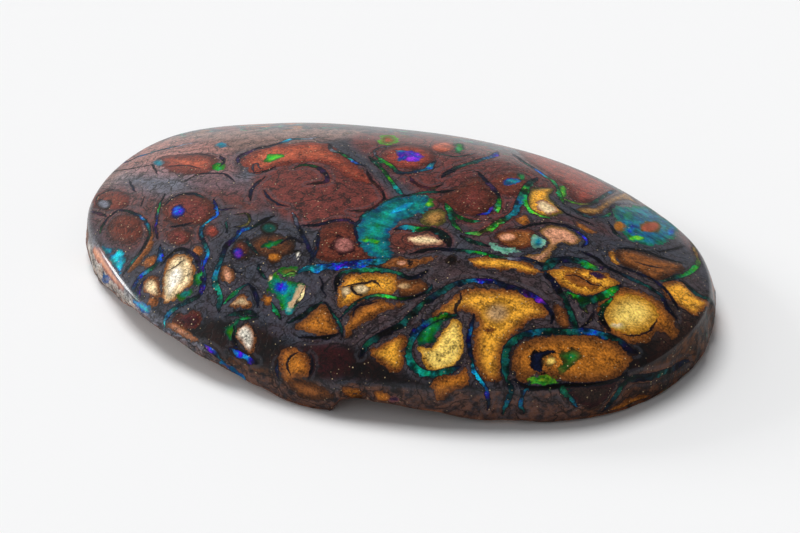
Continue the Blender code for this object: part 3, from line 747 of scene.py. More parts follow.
@dataclass(frozen=True)
class Viewpoint:
    """The camera: turned and raised from the stone's front, at a distance from its axis.

    The focal length and the place where the axis meets the table are in pixels of the view.
    """

    azimuth: float = 20.7
    elevation: float = 35.0
    distance: float = 0.36
    focal_pixels: float = 5026.0
    foot_pixel: Pixel = (391.3, 298.7)
    sensor_mm: float = 36.0

    def axes(self) -> tuple[Vector, Vector, Vector]:
        """The directions back towards the camera, right and up in its view."""
        turn, rise = math.radians(self.azimuth), math.radians(self.elevation)
        level = math.cos(rise)
        back = Vector((math.sin(turn) * level, -math.cos(turn) * level, math.sin(rise)))
        right = Vector((math.cos(turn), math.sin(turn), 0.0))
        return back, right, back.cross(right)

    def place(self) -> Vector:
        """Where the camera stands."""
        return STONE_AXIS + self.axes()[0] * self.distance

    def ray(self, pixel: Pixel) -> Vector:
        """The direction from the camera through a pixel of the view."""
        back, right, up = self.axes()
        across = (pixel[0] - self.foot_pixel[0]) / self.focal_pixels
        down = (pixel[1] - self.foot_pixel[1]) / self.focal_pixels
        return (right * across - up * down - back).normalized()

    def build(self) -> None:
        """Adds the camera and makes it the scene's own."""
        data = bpy.data.cameras.new("camera")
        data.sensor_width = self.sensor_mm
        data.lens = self.focal_pixels / VIEW_WIDTH * self.sensor_mm
        data.shift_x = (VIEW_WIDTH / 2 - self.foot_pixel[0]) / VIEW_WIDTH
        data.shift_y = (self.foot_pixel[1] - VIEW_HEIGHT / 2) / VIEW_WIDTH
        data.clip_start = 0.01
        camera = bpy.data.objects.new("camera", data)
        camera.location = self.place()
        camera.rotation_euler = (-self.axes()[0]).to_track_quat("-Z", "Y").to_euler()
        bpy.context.scene.collection.objects.link(camera)
        bpy.context.scene.camera = camera


@dataclass(frozen=True)
class StoneForm:
    """The stone's shape, in mm and degrees: its girdle, dome, bevel, broken wall and underside.

    Girdle stations stand every 22.5 degrees, counted anticlockwise from +X seen from above.
    """

    girdle_radii: tuple[float, ...] = (
        *(23.0, 22.4, 20.2, 18.5, 17.8, 18.3, 20.7, 23.6),
        *(23.4, 19.9, 17.2, 15.1, 14.6, 14.8, 16.9, 20.8),
    )
    girdle_heights: tuple[float, ...] = (
        *(3.9, 3.1, 2.8, 2.9, 2.9, 2.9, 2.9, 3.1),
        *(2.8, 2.9, 2.7, 2.9, 3.0, 3.3, 3.5, 3.4),
    )
    apex_height: float = 7.6
    dome_power: float = 2.6
    bevel_width: float = 0.28
    bevel_drop: float = 0.32
    bevel_swell: tuple[float, float] = (0.03, 0.02)
    # (angle, height above the table, how far it stands out from the girdle)
    lower_edge: tuple[tuple[float, float, float], ...] = (
        *((0, 0.35, 0.05), (9, 0.65, 0.20), (22, 0.50, 0.30), (45, 0.70, 0.00)),
        *((70, 0.55, -0.25), (95, 0.40, -0.30), (120, 0.80, -0.20), (145, 0.95, -0.10)),
        *((165, 0.60, 0.00), (180, 0.30, 0.05), (194, 0.15, 0.05), (204, 1.00, -0.05)),
        *((213, 1.75, -0.05), (226, 1.80, -0.10), (236, 1.35, -0.10), (252, 0.65, -0.10)),
        *((261, 0.20, -0.10), (268, 0.10, -0.15), (273, 0.25, -0.10), (277, 1.30, -0.15)),
        *((286, 1.45, -0.15), (300, 1.05, -0.15), (316, 0.50, -0.15), (332, 0.25, -0.15)),
        (344, 0.10, -0.10),
    )
    # (angle, height, size across, depth)
    chips: tuple[tuple[float, float, float, float], ...] = (
        *((355, 1.9, 3.4, 0.42), (343, 1.3, 2.6, 0.30), (6, 2.3, 2.8, 0.34)),
        *((318, 1.2, 2.2, 0.24), (281, 1.7, 2.4, 0.28), (246, 1.6, 1.9, 0.18)),
        *((28, 1.5, 3.0, 0.34), (66, 1.6, 3.6, 0.38), (103, 1.4, 2.8, 0.30)),
        *((133, 1.7, 3.2, 0.34), (168, 1.5, 2.4, 0.24)),
    )
    rest_share: float = 0.38
    underside_power: float = 1.35
    lump_height: float = 0.75
    lump_size: float = 4.2
    lump_cover: float = 0.35
    lump_start: float = 0.08
    break_fade: float = 6
    hollow_spread: float = 28
    wall_roughness: float = 0.13
    wall_grain: float = 1.7
    wall_bulge: float = 0.16
    edge_rounding: float = 0.30
    lowest_edge: float = 0.08
    fine_grain: float = 0.42
    fine_roughness: float = 0.05
    under_roughness: float = 0.04

    def around(self, stations: Sequence[float], angle: float) -> float:
        """A smooth value at this angle from evenly spaced stations round the stone."""
        count = len(stations)
        position = angle / (2 * math.pi) * count
        station = math.floor(position)
        around = (stations[(station + step) % count] for step in (-1, 0, 1, 2))
        return curve_at(*around, position - station)

    def radius(self, angle: float) -> float:
        """Radius of the girdle at this angle."""
        return self.around(self.girdle_radii, angle)

    def height(self, angle: float) -> float:
        """Height of the girdle at this angle."""
        return self.around(self.girdle_heights, angle)

    def edge_at(self, angle: float) -> tuple[float, float]:
        """Height and stand-out of the wall's lower edge at this angle."""
        degrees = math.degrees(angle) % 360
        rows = self.lower_edge
        ahead = next((i for i, row in enumerate(rows) if row[0] > degrees), 0)
        start, end = rows[ahead - 1], rows[ahead]
        share = ((degrees - start[0]) % 360) / ((end[0] - start[0]) % 360)
        eased = share * share * (3 - 2 * share)
        return (
            start[1] + (end[1] - start[1]) * eased,
            start[2] + (end[2] - start[2]) * eased,
        )

    def rough(self, point: Vector, size: float, octaves: int = 3) -> float:
        """Rock roughness, roughly from -1 to 1."""
        return noise.fractal(point / size, 1.0, 2.0, octaves)

    def on_plan(self, angle: float, radius: float, height: float) -> Vector:
        """A point at this angle and distance from the stone's axis."""
        return Vector((radius * math.cos(angle), radius * math.sin(angle), height))

    def chip_depth(self, angle: float, height: float) -> float:
        """How deep the chips are broken into the wall at this angle and height."""
        depth = 0.0
        for degrees, middle, across, deep in self.chips:
            turn = (angle - math.radians(degrees) + math.pi) % (2 * math.pi) - math.pi
            away = math.hypot(turn * self.radius(angle), height - middle) / (across / 2)
            depth = max(depth, deep * max(0.0, 1 - away * away))
        return depth

    def dome_point(self, angle: float, share: float) -> Vector:
        """A point of the polished face, from 0 at the apex to 1 at the top of the bevel."""
        radius = (self.radius(angle) - self.bevel_width) * share
        fall = (self.apex_height - self.height(angle)) * share**self.dome_power
        return self.on_plan(angle, radius, self.apex_height - fall)

    def bevel_point(self, angle: float, share: float) -> Vector:
        """A point of the narrow bevel, from 0 at the dome to 1 at the top of the wall."""
        top = self.dome_point(angle, 1.0)
        foot = self.on_plan(angle, self.radius(angle), self.height(angle) - self.bevel_drop)
        swell = self.on_plan(angle, *self.bevel_swell)
        return top.lerp(foot, share) + swell * math.sin(math.pi * share)

    def edge_point(self, angle: float, brokenness: float = 1.0) -> Vector:
        """A point of the wall's lower edge, with its small breaks at this much of their size."""
        height, stand_out = self.edge_at(angle)
        smooth = self.on_plan(angle, self.radius(angle) + stand_out, height)
        broken = self.rough(smooth, self.wall_grain) * self.wall_roughness * brokenness
        chipped = self.chip_depth(angle, height) * brokenness
        radius = self.radius(angle) + stand_out + broken - chipped
        return self.on_plan(angle, radius, max(self.lowest_edge, height + broken))

    def wall_point(self, angle: float, share: float) -> Vector:
        """A point of the broken wall, from 0 under the bevel to 1 at the lower edge."""
        top = self.bevel_point(angle, 1.0)
        point = top.lerp(self.edge_point(angle), share)
        swell = math.sin(math.pi * share)
        grain = self.rough(point, self.wall_grain) * self.wall_roughness
        fine = self.rough(point, self.fine_grain, 4) * self.fine_roughness
        inside = self.chip_depth(angle, point.z) * (1 if 0 < share < 1 else 0)
        return point + self.on_plan(angle, (self.wall_bulge + grain + fine) * swell - inside, 0)

    def underside_point(self, angle: float, share: float) -> Vector:
        """A point of the natural underside, from 0 at the lower edge to 1 at the rest flat."""
        edge = self.edge_point(angle, (1 - share) ** self.break_fade)
        rest_radius = self.radius(angle) * self.rest_share
        start = edge.xy.length - self.edge_rounding
        radius = start + (rest_radius - start) * share
        spread = math.radians(self.hollow_spread) * share
        levels = [self.edge_at(angle + spread * step / 4)[0] for step in range(-4, 5)]
        level = edge.z + (sum(levels) / len(levels) - edge.z) * min(1.0, 3 * share)
        height = max(level - self.edge_rounding, 0.0) * (1 - share) ** self.underside_power
        flat = self.on_plan(angle, radius, 0.0)
        lump = max(self.rough(flat, self.lump_size, 2) + self.lump_cover, 0.0)
        fine = self.rough(flat, self.fine_grain * 2, 3) * self.under_roughness
        fine *= math.sin(math.pi * share)
        hollow = lump * self.lump_height * math.sin(math.pi * min(1.0, share + self.lump_start))
        return self.on_plan(angle, radius, max(height + hollow + fine, 0.0))


class Chart:
    """The stone's skin laid flat: angle kept, distance counted along the skin from the apex."""

    TABLE_SIZE = 1441
    ARRIS_ANGLE = -2.7
    ARRIS_SOFTNESS = 0.25

    def __init__(self, form: StoneForm) -> None:
        """Keeps the girdle as a table over the angles."""
        self.form = form
        self.angles = np.linspace(-math.pi, math.pi, self.TABLE_SIZE)
        self.radii = np.array([form.radius(angle) for angle in self.angles])
        self.heights = np.array([form.height(angle) for angle in self.angles])

    def lay(self, points: np.ndarray) -> np.ndarray:
        """Places on the chart, in mm.

        Args:
            points: Points of the skin in mm from the foot of the stone's axis, one per row.

        Returns:
            Their two chart coordinates, one row each.
        """
        form = self.form
        angle = np.arctan2(points[:, 1], points[:, 0])
        plan = np.hypot(points[:, 0], points[:, 1])
        reach = np.interp(angle, self.angles, self.radii) - form.bevel_width
        rim = np.interp(angle, self.angles, self.heights)
        share = np.clip(plan / reach, 0.0, 1.0)
        drop, power = form.apex_height - rim, form.dome_power
        bend = 0.5 * (drop * power) ** 2 / reach * share ** (2 * power - 1) / (2 * power - 1)
        below = np.clip(rim - points[:, 2], 0.0, None)
        beyond = 0.4 * np.clip(plan - reach, 0.0, form.bevel_width)
        far = share * reach + bend + below + beyond
        return np.stack([far * np.cos(angle), far * np.sin(angle)], axis=1)

    def arris(self, points: np.ndarray) -> np.ndarray:
        """How near points lie to the bevel at the stone's left end, from 0 to 1."""
        angle = np.arctan2(points[:, 1], points[:, 0])
        plan = np.hypot(points[:, 0], points[:, 1])
        middle = np.interp(angle, self.angles, self.radii) - self.form.bevel_width / 2
        drop = np.interp(angle, self.angles, self.heights) - points[:, 2]
        left = eased(3.0 - np.abs(angle - self.ARRIS_ANGLE) / self.ARRIS_SOFTNESS)
        beside = eased(1.4 - np.abs(plan - middle) / self.ARRIS_SOFTNESS)
        return left * beside * eased(2.0 - drop / 0.3)


def smooth_line(points: np.ndarray, closed: bool, steps: int = 5) -> np.ndarray:
    """A smooth line through the points.

    Args:
        points: The points, one per row.
        closed: Whether the line returns to its first point.
        steps: How many parts each stretch gets.

    Returns:
        The finer line. A closed one repeats its first point at its end.
    """
    if closed:
        padded = np.concatenate([points[-1:], points, points[:2]])
    else:
        ahead = 2 * points[0] - points[1]
        behind = 2 * points[-1] - points[-2]
        padded = np.concatenate([[ahead], points, [behind]])
    finer = []
    for i in range(1, len(padded) - 2):
        finer += [curve_at(*padded[i - 1 : i + 3], step / steps) for step in range(steps)]
    finer.append(padded[-2])
    return np.array(finer)


@dataclass
class Nearness:
    """How a group of places lies beside a line: distance, side and length along it, in mm."""

    away: np.ndarray
    side: np.ndarray
    along: np.ndarray
    length: float


def measure(places: np.ndarray, line: np.ndarray) -> Nearness:
    """Measures places against a line on the chart.

    Args:
        places: Chart places, one per row.
        line: The line's points, one per row.

    Returns:
        The distance, the side and the length along the line of each place.
    """
    starts, steps = line[:-1], line[1:] - line[:-1]
    lengths = np.maximum(np.hypot(steps[:, 0], steps[:, 1]), 1e-6)
    before = np.concatenate([[0.0], np.cumsum(lengths)[:-1]])
    away = np.full(len(places), 1e9)
    side = np.ones(len(places))
    along = np.zeros(len(places))
    for start, step, length, passed in zip(starts, steps, lengths, before, strict=True):
        gap = places - start
        share = np.clip(gap @ step / length**2, 0.0, 1.0)
        gap = gap - share[:, None] * step
        distance = np.hypot(gap[:, 0], gap[:, 1])
        closer = distance < away
        away[closer] = distance[closer]
        turn = step[0] * gap[:, 1] - step[1] * gap[:, 0]
        side[closer] = np.where(turn[closer] < 0, -1.0, 1.0)
        along[closer] = passed + share[closer] * length
    return Nearness(away, side, along, float(lengths.sum()))


def inside(places: np.ndarray, outline: np.ndarray) -> np.ndarray:
    """Which places lie inside a closed outline on the chart."""
    within = np.zeros(len(places), bool)
    x, y = places[:, 0], places[:, 1]
    for (x0, y0), (x1, y1) in zip(outline[:-1], outline[1:], strict=True):
        if y0 == y1:
            continue
        crosses = (y0 > y) != (y1 > y)
        within ^= crosses & (x < (x1 - x0) * (y - y0) / (y1 - y0) + x0)
    return within


def eased(values: np.ndarray) -> np.ndarray:
    """Values held between 0 and 1 and eased at both ends."""
    held = np.clip(values, 0.0, 1.0)
    return held * held * (3 - 2 * held)


class Pattern:
    """Lays the stone's named regions, washes and seams onto its skin as vertex attributes.

    Lengths are in mm. The facing numbers are parts of a vertex's normal, from -1 to 1.
    """

    REACH = 1.6
    # Painted shade: RIM_PAINTED_SHADE darkens each region towards its edge so that the nodules look
    # raised, and RIM_REACH widens that darker rim.
    RIM_PAINTED_SHADE = 0.62
    RIM_REACH = 1.5
    MISS_STEPS = 25
    END_TAPER = 0.7
    END_WIDTH = 0.45
    FACING_VIEW = 0.05
    VIEW_SPAN = 0.34
    FACING_SIDE = 0.35
    SIDE_SPAN = 0.3
    FACING_TABLE = -0.5
    FAR_AWAY = 1e3

    def __init__(self, view: Viewpoint, form: StoneForm) -> None:
        """Takes the camera that places the pattern and the form that carries it."""
        self.view = view
        self.chart = Chart(form)

    def cast(self, pixels: Iterable[Pixel], skin: BVHTree) -> np.ndarray:
        """Casts pixels of the view onto the stone.

        Args:
            pixels: The pixels.
            skin: The stone's skin, to cast onto.

        Returns:
            Their chart places, one per row. A ray that misses takes the skin that it passes
            nearest to.
        """
        found = []
        eye = self.view.place()
        for pixel in pixels:
            ray = self.view.ray(pixel)
            hit = skin.ray_cast(eye, ray)[0]
            if hit is None:
                steps = range(-self.MISS_STEPS, self.MISS_STEPS + 1)
                passed = [eye + ray * (self.view.distance + step * MM) for step in steps]
                nearest = [skin.find_nearest(point) for point in passed]
                hit = min(nearest, key=lambda found_at: found_at[3])[0]
            found.append((hit - STONE_AXIS) / MM)
        return self.chart.lay(np.array(found))

    def near(self, places: np.ndarray, line: np.ndarray, reach: float) -> np.ndarray:
        """The indexes of the places that lie within reach of a line's box."""
        low, high = line.min(axis=0) - reach, line.max(axis=0) + reach
        return np.flatnonzero(((places > low) & (places < high)).all(axis=1))

    def ground(self, places: np.ndarray, skin: BVHTree) -> np.ndarray:
        """The ironstone's own colour, with its washes, one row for each place. A few washes are
        painted light: a reflection and a highlight on the left wall, and partly a sheen on the back
        rim.
        """
        colour = np.tile(Tone.IRON.colour, (len(places), 1))
        for wash in WASHES:
            outline = smooth_line(self.cast(wash.outline, skin), closed=True)
            picked = self.near(places, outline, wash.fade)
            beside = measure(places[picked], outline).away
            depth = np.where(inside(places[picked], outline), beside, -beside)
            cover = eased(0.5 + 0.5 * depth / wash.fade)[:, None] * wash.strength
            colour[picked] += (wash.tone.colour - colour[picked]) * cover
        return colour

    def regions(
        self, layer: Iterable[Region], places: np.ndarray, skin: BVHTree
    ) -> tuple[np.ndarray, np.ndarray]:
        """Lays one layer of regions.

        Args:
            layer: The regions.
            places: The chart places of the skin's vertices.
            skin: The stone's skin.

        Returns:
            The colour of the nearest region, and for each vertex its distance outside that
            region's edge, its length along the edge and how much the region shines as opal.
        """
        colour = np.tile(Tone.IRON.colour, (len(places), 1))
        field = np.tile([self.REACH, 0.0, 0.0], (len(places), 1))
        for region in layer:
            outline = smooth_line(self.cast(region.outline, skin), closed=True)
            picked = self.near(places, outline, self.REACH)
            beside = measure(places[picked], outline)
            within = inside(places[picked], outline)
            edge = np.where(within, -beside.away, beside.away)
            closer = edge < field[picked, 0]
            rim = region.rim or region.tone
            # Each region blends to its rim tone and darkens towards its edge. The darkening is
            # painted shade that makes a nodule look raised, and the rim tone is partly the rock's own
            # rind and partly the same painted shade.
            inward = eased(-edge / (region.rim_depth * self.RIM_REACH))[:, None]
            tint = rim.colour + (region.tone.colour - rim.colour) * inward
            tint = tint * (self.RIM_PAINTED_SHADE + (1 - self.RIM_PAINTED_SHADE) * inward)
            chosen = picked[closer]
            colour[chosen] = tint[closer]
            field[chosen, 0] = edge[closer]
            field[chosen, 1] = beside.along[closer]
            field[chosen, 2] = region.fire
        return colour, field

    def seams(self, places: np.ndarray, skin: BVHTree) -> tuple[np.ndarray, np.ndarray, np.ndarray]:
        """Lays the seams and cracks.

        Args:
            places: The chart places of the skin's vertices.
            skin: The stone's skin.

        Returns:
            The tone of the nearest seam, its signed and plain distance with its half width,
            and the length along it.
        """
        colour = np.tile(Tone.SOOT.colour, (len(places), 1))
        field = np.tile([self.REACH, self.REACH, 0.0], (len(places), 1))
        along = np.zeros(len(places))
        margin = np.full(len(places), self.REACH)
        for seam in SEAMS:
            line = smooth_line(self.cast(seam.line, skin), closed=seam.closed)
            picked = self.near(places, line, self.REACH)
            beside = measure(places[picked], line)
            share = beside.along / beside.length
            to_end = np.minimum(beside.along, beside.length - beside.along)
            half = seam.width / 2
            half = half * (self.END_WIDTH + (1 - self.END_WIDTH) * eased(to_end / self.END_TAPER))
            closer = beside.away - half < margin[picked]
            chosen = picked[closer]
            tones = np.array([tone.colour for tone in seam.tones])
            stops = np.linspace(0.0, 1.0, len(tones)) if len(tones) > 1 else np.array([0.5])
            for channel in range(3):
                tint = np.interp(share, stops, tones[:, channel])
                colour[chosen, channel] = tint[closer]
            margin[chosen] = (beside.away - half)[closer]
            field[chosen, 0] = (beside.away * beside.side)[closer]
            field[chosen, 1] = beside.away[closer]
            field[chosen, 2] = half[closer]
            along[chosen] = beside.along[closer]
        return colour, field, along

    def lay_on(self, mesh: bpy.types.Mesh) -> None:
        """Writes the whole pattern onto a mesh of the stone.

        Args:
            mesh: The stone's mesh, in the frame's place.
        """
        count = len(mesh.vertices)
        points = np.zeros(count * 3)
        mesh.vertices.foreach_get("co", points)
        points = (points.reshape(-1, 3) - np.array(STONE_AXIS)) / MM
        normals = np.zeros(count * 3)
        mesh.vertices.foreach_get("normal", normals)
        normals = normals.reshape(-1, 3)
        skin = BVHTree.FromPolygons(
            [vertex.co for vertex in mesh.vertices],
            [tuple(face.vertices) for face in mesh.polygons],
        )
        eye = np.array(self.view.axes()[0])
        seen = eased((normals @ eye - self.FACING_VIEW) / self.VIEW_SPAN)
        below = eased((self.FACING_SIDE - normals[:, 2]) / self.SIDE_SPAN)
        under = eased((-normals[:, 2] - self.FACING_SIDE) / self.SIDE_SPAN)
        places = self.chart.lay(points)
        places[normals[:, 2] < self.FACING_TABLE] = self.FAR_AWAY
        LOG.info("laying %d washes on %d vertices", len(WASHES), count)
        self.write(mesh, "ground", self.ground(places, skin))
        for name, layer in (("nodule", NODULES), ("core", CORES), ("spark", SPARKS)):
            colour, field = self.regions(layer, places, skin)
            self.write(mesh, f"{name}_tint", colour)
            self.write(mesh, f"{name}_edge", field)
            LOG.info("laid %d regions as %s", len(layer), name)
        colour, field, along = self.seams(places, skin)
        self.write(mesh, "seam_tint", colour)
        self.write(mesh, "seam_edge", field)
        self.write(mesh, "skin", np.stack([seen, below, under], axis=1))
        arris = self.chart.arris(points)
        self.write(mesh, "flow", np.stack([along, arris, np.zeros(count)], axis=1))
        LOG.info("laid %d seams", len(SEAMS))

    def write(self, mesh: bpy.types.Mesh, name: str, rows: np.ndarray) -> None:
        """Keeps three numbers for each vertex under this name."""
        attribute = mesh.attributes.new(name, "FLOAT_VECTOR", "POINT")
        attribute.data.foreach_set("vector", rows.astype(np.float32).ravel())


class Flow:
    """A number that flows through a material. Maths on it adds Math nodes."""

    def __init__(self, wiring: Wiring, socket: bpy.types.NodeSocket) -> None:
        """Wraps an output socket."""
        self.wiring = wiring
        self.socket = socket

    def maths(self, operation: str, *values: Flow | float) -> Flow:
        """Adds a Math node over these values."""
        sockets = dict(enumerate(values))
        return self.wiring.number("ShaderNodeMath", sockets, operation=operation)

    def __add__(self, other: Flow | float) -> Flow:
        """The sum."""
        return self.maths("ADD", self, other)

    def __sub__(self, other: Flow | float) -> Flow:
        """The difference."""
        return self.maths("SUBTRACT", self, other)

    def __rsub__(self, other: float) -> Flow:
        """The difference from a plain number."""
        return self.maths("SUBTRACT", other, self)

    def __mul__(self, other: Flow | float) -> Flow:
        """The product."""
        return self.maths("MULTIPLY", self, other)

    def fraction(self) -> Flow:
        """What is left over a whole number."""
        return self.maths("FRACT", self)

    def size(self) -> Flow:
        """The number without its sign."""
        return self.maths("ABSOLUTE", self)

    def larger(self, other: Flow | float) -> Flow:
        """The larger of two numbers."""
        return self.maths("MAXIMUM", self, other)

    def ramp(self, start: float, end: float) -> Flow:
        """0 at the start and 1 at the end, eased between them. The start may be the larger."""
        sockets = {"Value": self, "From Min": start, "From Max": end, "To Min": 0.0, "To Max": 1.0}
        return self.wiring.number(
            "ShaderNodeMapRange", sockets, interpolation_type="SMOOTHSTEP", clamp=True
        )


class Wiring:
    """Adds nodes to one material or surroundings and links them."""

    def __init__(self, owner: bpy.types.Material | bpy.types.World) -> None:
        """Empties the owner's tree."""
        owner.use_nodes = True
        self.tree = owner.node_tree
        self.tree.nodes.clear()

    def node(self, kind: str, sockets: dict | None = None, **settings: object) -> bpy.types.Node:
        """Adds one node.

        Args:
            kind: The node's type.
            sockets: Values and links for its inputs, by number, name or identifier.
            **settings: The node's own settings, which are set first.

        Returns:
            The node.
        """
        node = self.tree.nodes.new(kind)
        for name, value in settings.items():
            setattr(node, name, value)
        for key, value in (sockets or {}).items():
            target = self.input(node, key)
            if isinstance(value, Flow):
                value = value.socket
            if isinstance(value, Tone):
                value = value.shade()
            if isinstance(value, bpy.types.NodeSocket):
                self.tree.links.new(value, target)
            else:
                target.default_value = value
        return node

    def spread(self, place: Flow, tones: Sequence[Tone]) -> bpy.types.NodeSocket:
        """A colour ramp read at a place, with the tones spread evenly from 0 to 1."""
        ramp = self.node("ShaderNodeValToRGB", {0: place})
        stops = ramp.color_ramp.elements
        stops.remove(stops[1])
        for index, tone in enumerate(tones):
            stop = stops.new(index / (len(tones) - 1)) if index else stops[0]
            stop.color = tone.shade()
        return ramp.outputs[0]

    def input(self, node: bpy.types.Node, key: int | str) -> bpy.types.NodeSocket:
        """A node's input, by number, identifier or name."""
        if isinstance(key, int):
            return node.inputs[key]
        matches = [socket for socket in node.inputs if socket.identifier == key]
        return matches[0] if matches else node.inputs[key]

    def number(self, kind: str, sockets: dict, **settings: object) -> Flow:
        """Adds a node and gives its first output as a number."""
        return Flow(self, self.node(kind, sockets, **settings).outputs[0])

    def mix(
        self,
        share: Flow | float,
        first: bpy.types.NodeSocket | Tone | tuple,
        second: bpy.types.NodeSocket | Tone | tuple,
    ) -> bpy.types.NodeSocket:
        """Mixes two colours by a share."""
        sockets = {"Factor_Float": share, "A_Color": first, "B_Color": second}
        node = self.node("ShaderNodeMix", sockets, data_type="RGBA")
        return next(socket for socket in node.outputs if socket.identifier == "Result_Color")

    def scaled(self, colour: bpy.types.NodeSocket, strength: Flow) -> bpy.types.NodeSocket:
        """A colour made lighter or darker by a number."""
        node = self.node(
            "ShaderNodeVectorMath", {"Vector": colour, "Scale": strength}, operation="SCALE"
        )
        return node.outputs["Vector"]

    def hued(self, colour: bpy.types.NodeSocket, shift: Flow) -> bpy.types.NodeSocket:
        """A colour with its hue turned by a number, where 1 is a whole turn."""
        sockets = {"Hue": shift + 0.5, "Color": colour}
        return self.node("ShaderNodeHueSaturation", sockets).outputs["Color"]

    def bent(
        self, place: bpy.types.NodeSocket, scale: float, detail: float, reach: float
    ) -> bpy.types.NodeSocket:
        """A place pushed about by a noise of this scale and detail, as far as the reach."""
        push = self.node(
            "ShaderNodeTexNoise", {"Vector": place, "Scale": scale, "Detail": detail}
        ).outputs["Color"]
        sockets = {0: push, 1: (reach, reach, reach), 2: place}
        return self.node("ShaderNodeVectorMath", sockets, operation="MULTIPLY_ADD").outputs[0]

    def attribute(self, name: str) -> bpy.types.NodeSocket:
        """A vertex attribute as a colour or vector."""
        return self.node("ShaderNodeAttribute", attribute_name=name).outputs["Vector"]

    def parts(self, vector: bpy.types.NodeSocket) -> tuple[Flow, Flow, Flow]:
        """The three numbers of a vector."""
        outputs = self.node("ShaderNodeSeparateXYZ", {0: vector}).outputs
        return Flow(self, outputs[0]), Flow(self, outputs[1]), Flow(self, outputs[2])


@dataclass(frozen=True)
class Layer:
    """One layer of regions as the material reads it: its name, edge, grain and gloss."""

    name: str
    edge_softness: float
    grain_strength: float
    outline_width: float
    outline_strength: float
    gloss: float


@dataclass
class Look:
    """A surface as far as it has been laid: its colour, and how much clear polish covers it."""

    colour: bpy.types.NodeSocket
    gloss: Flow | float


@dataclass(frozen=True)
class Rock:
    """The noises that the whole finish shares, and the place on the stone that they read."""

    place: bpy.types.NodeSocket
    grain: Flow
    mottle: Flow
    cloud: Flow
    glow: Flow
    wobble: Flow


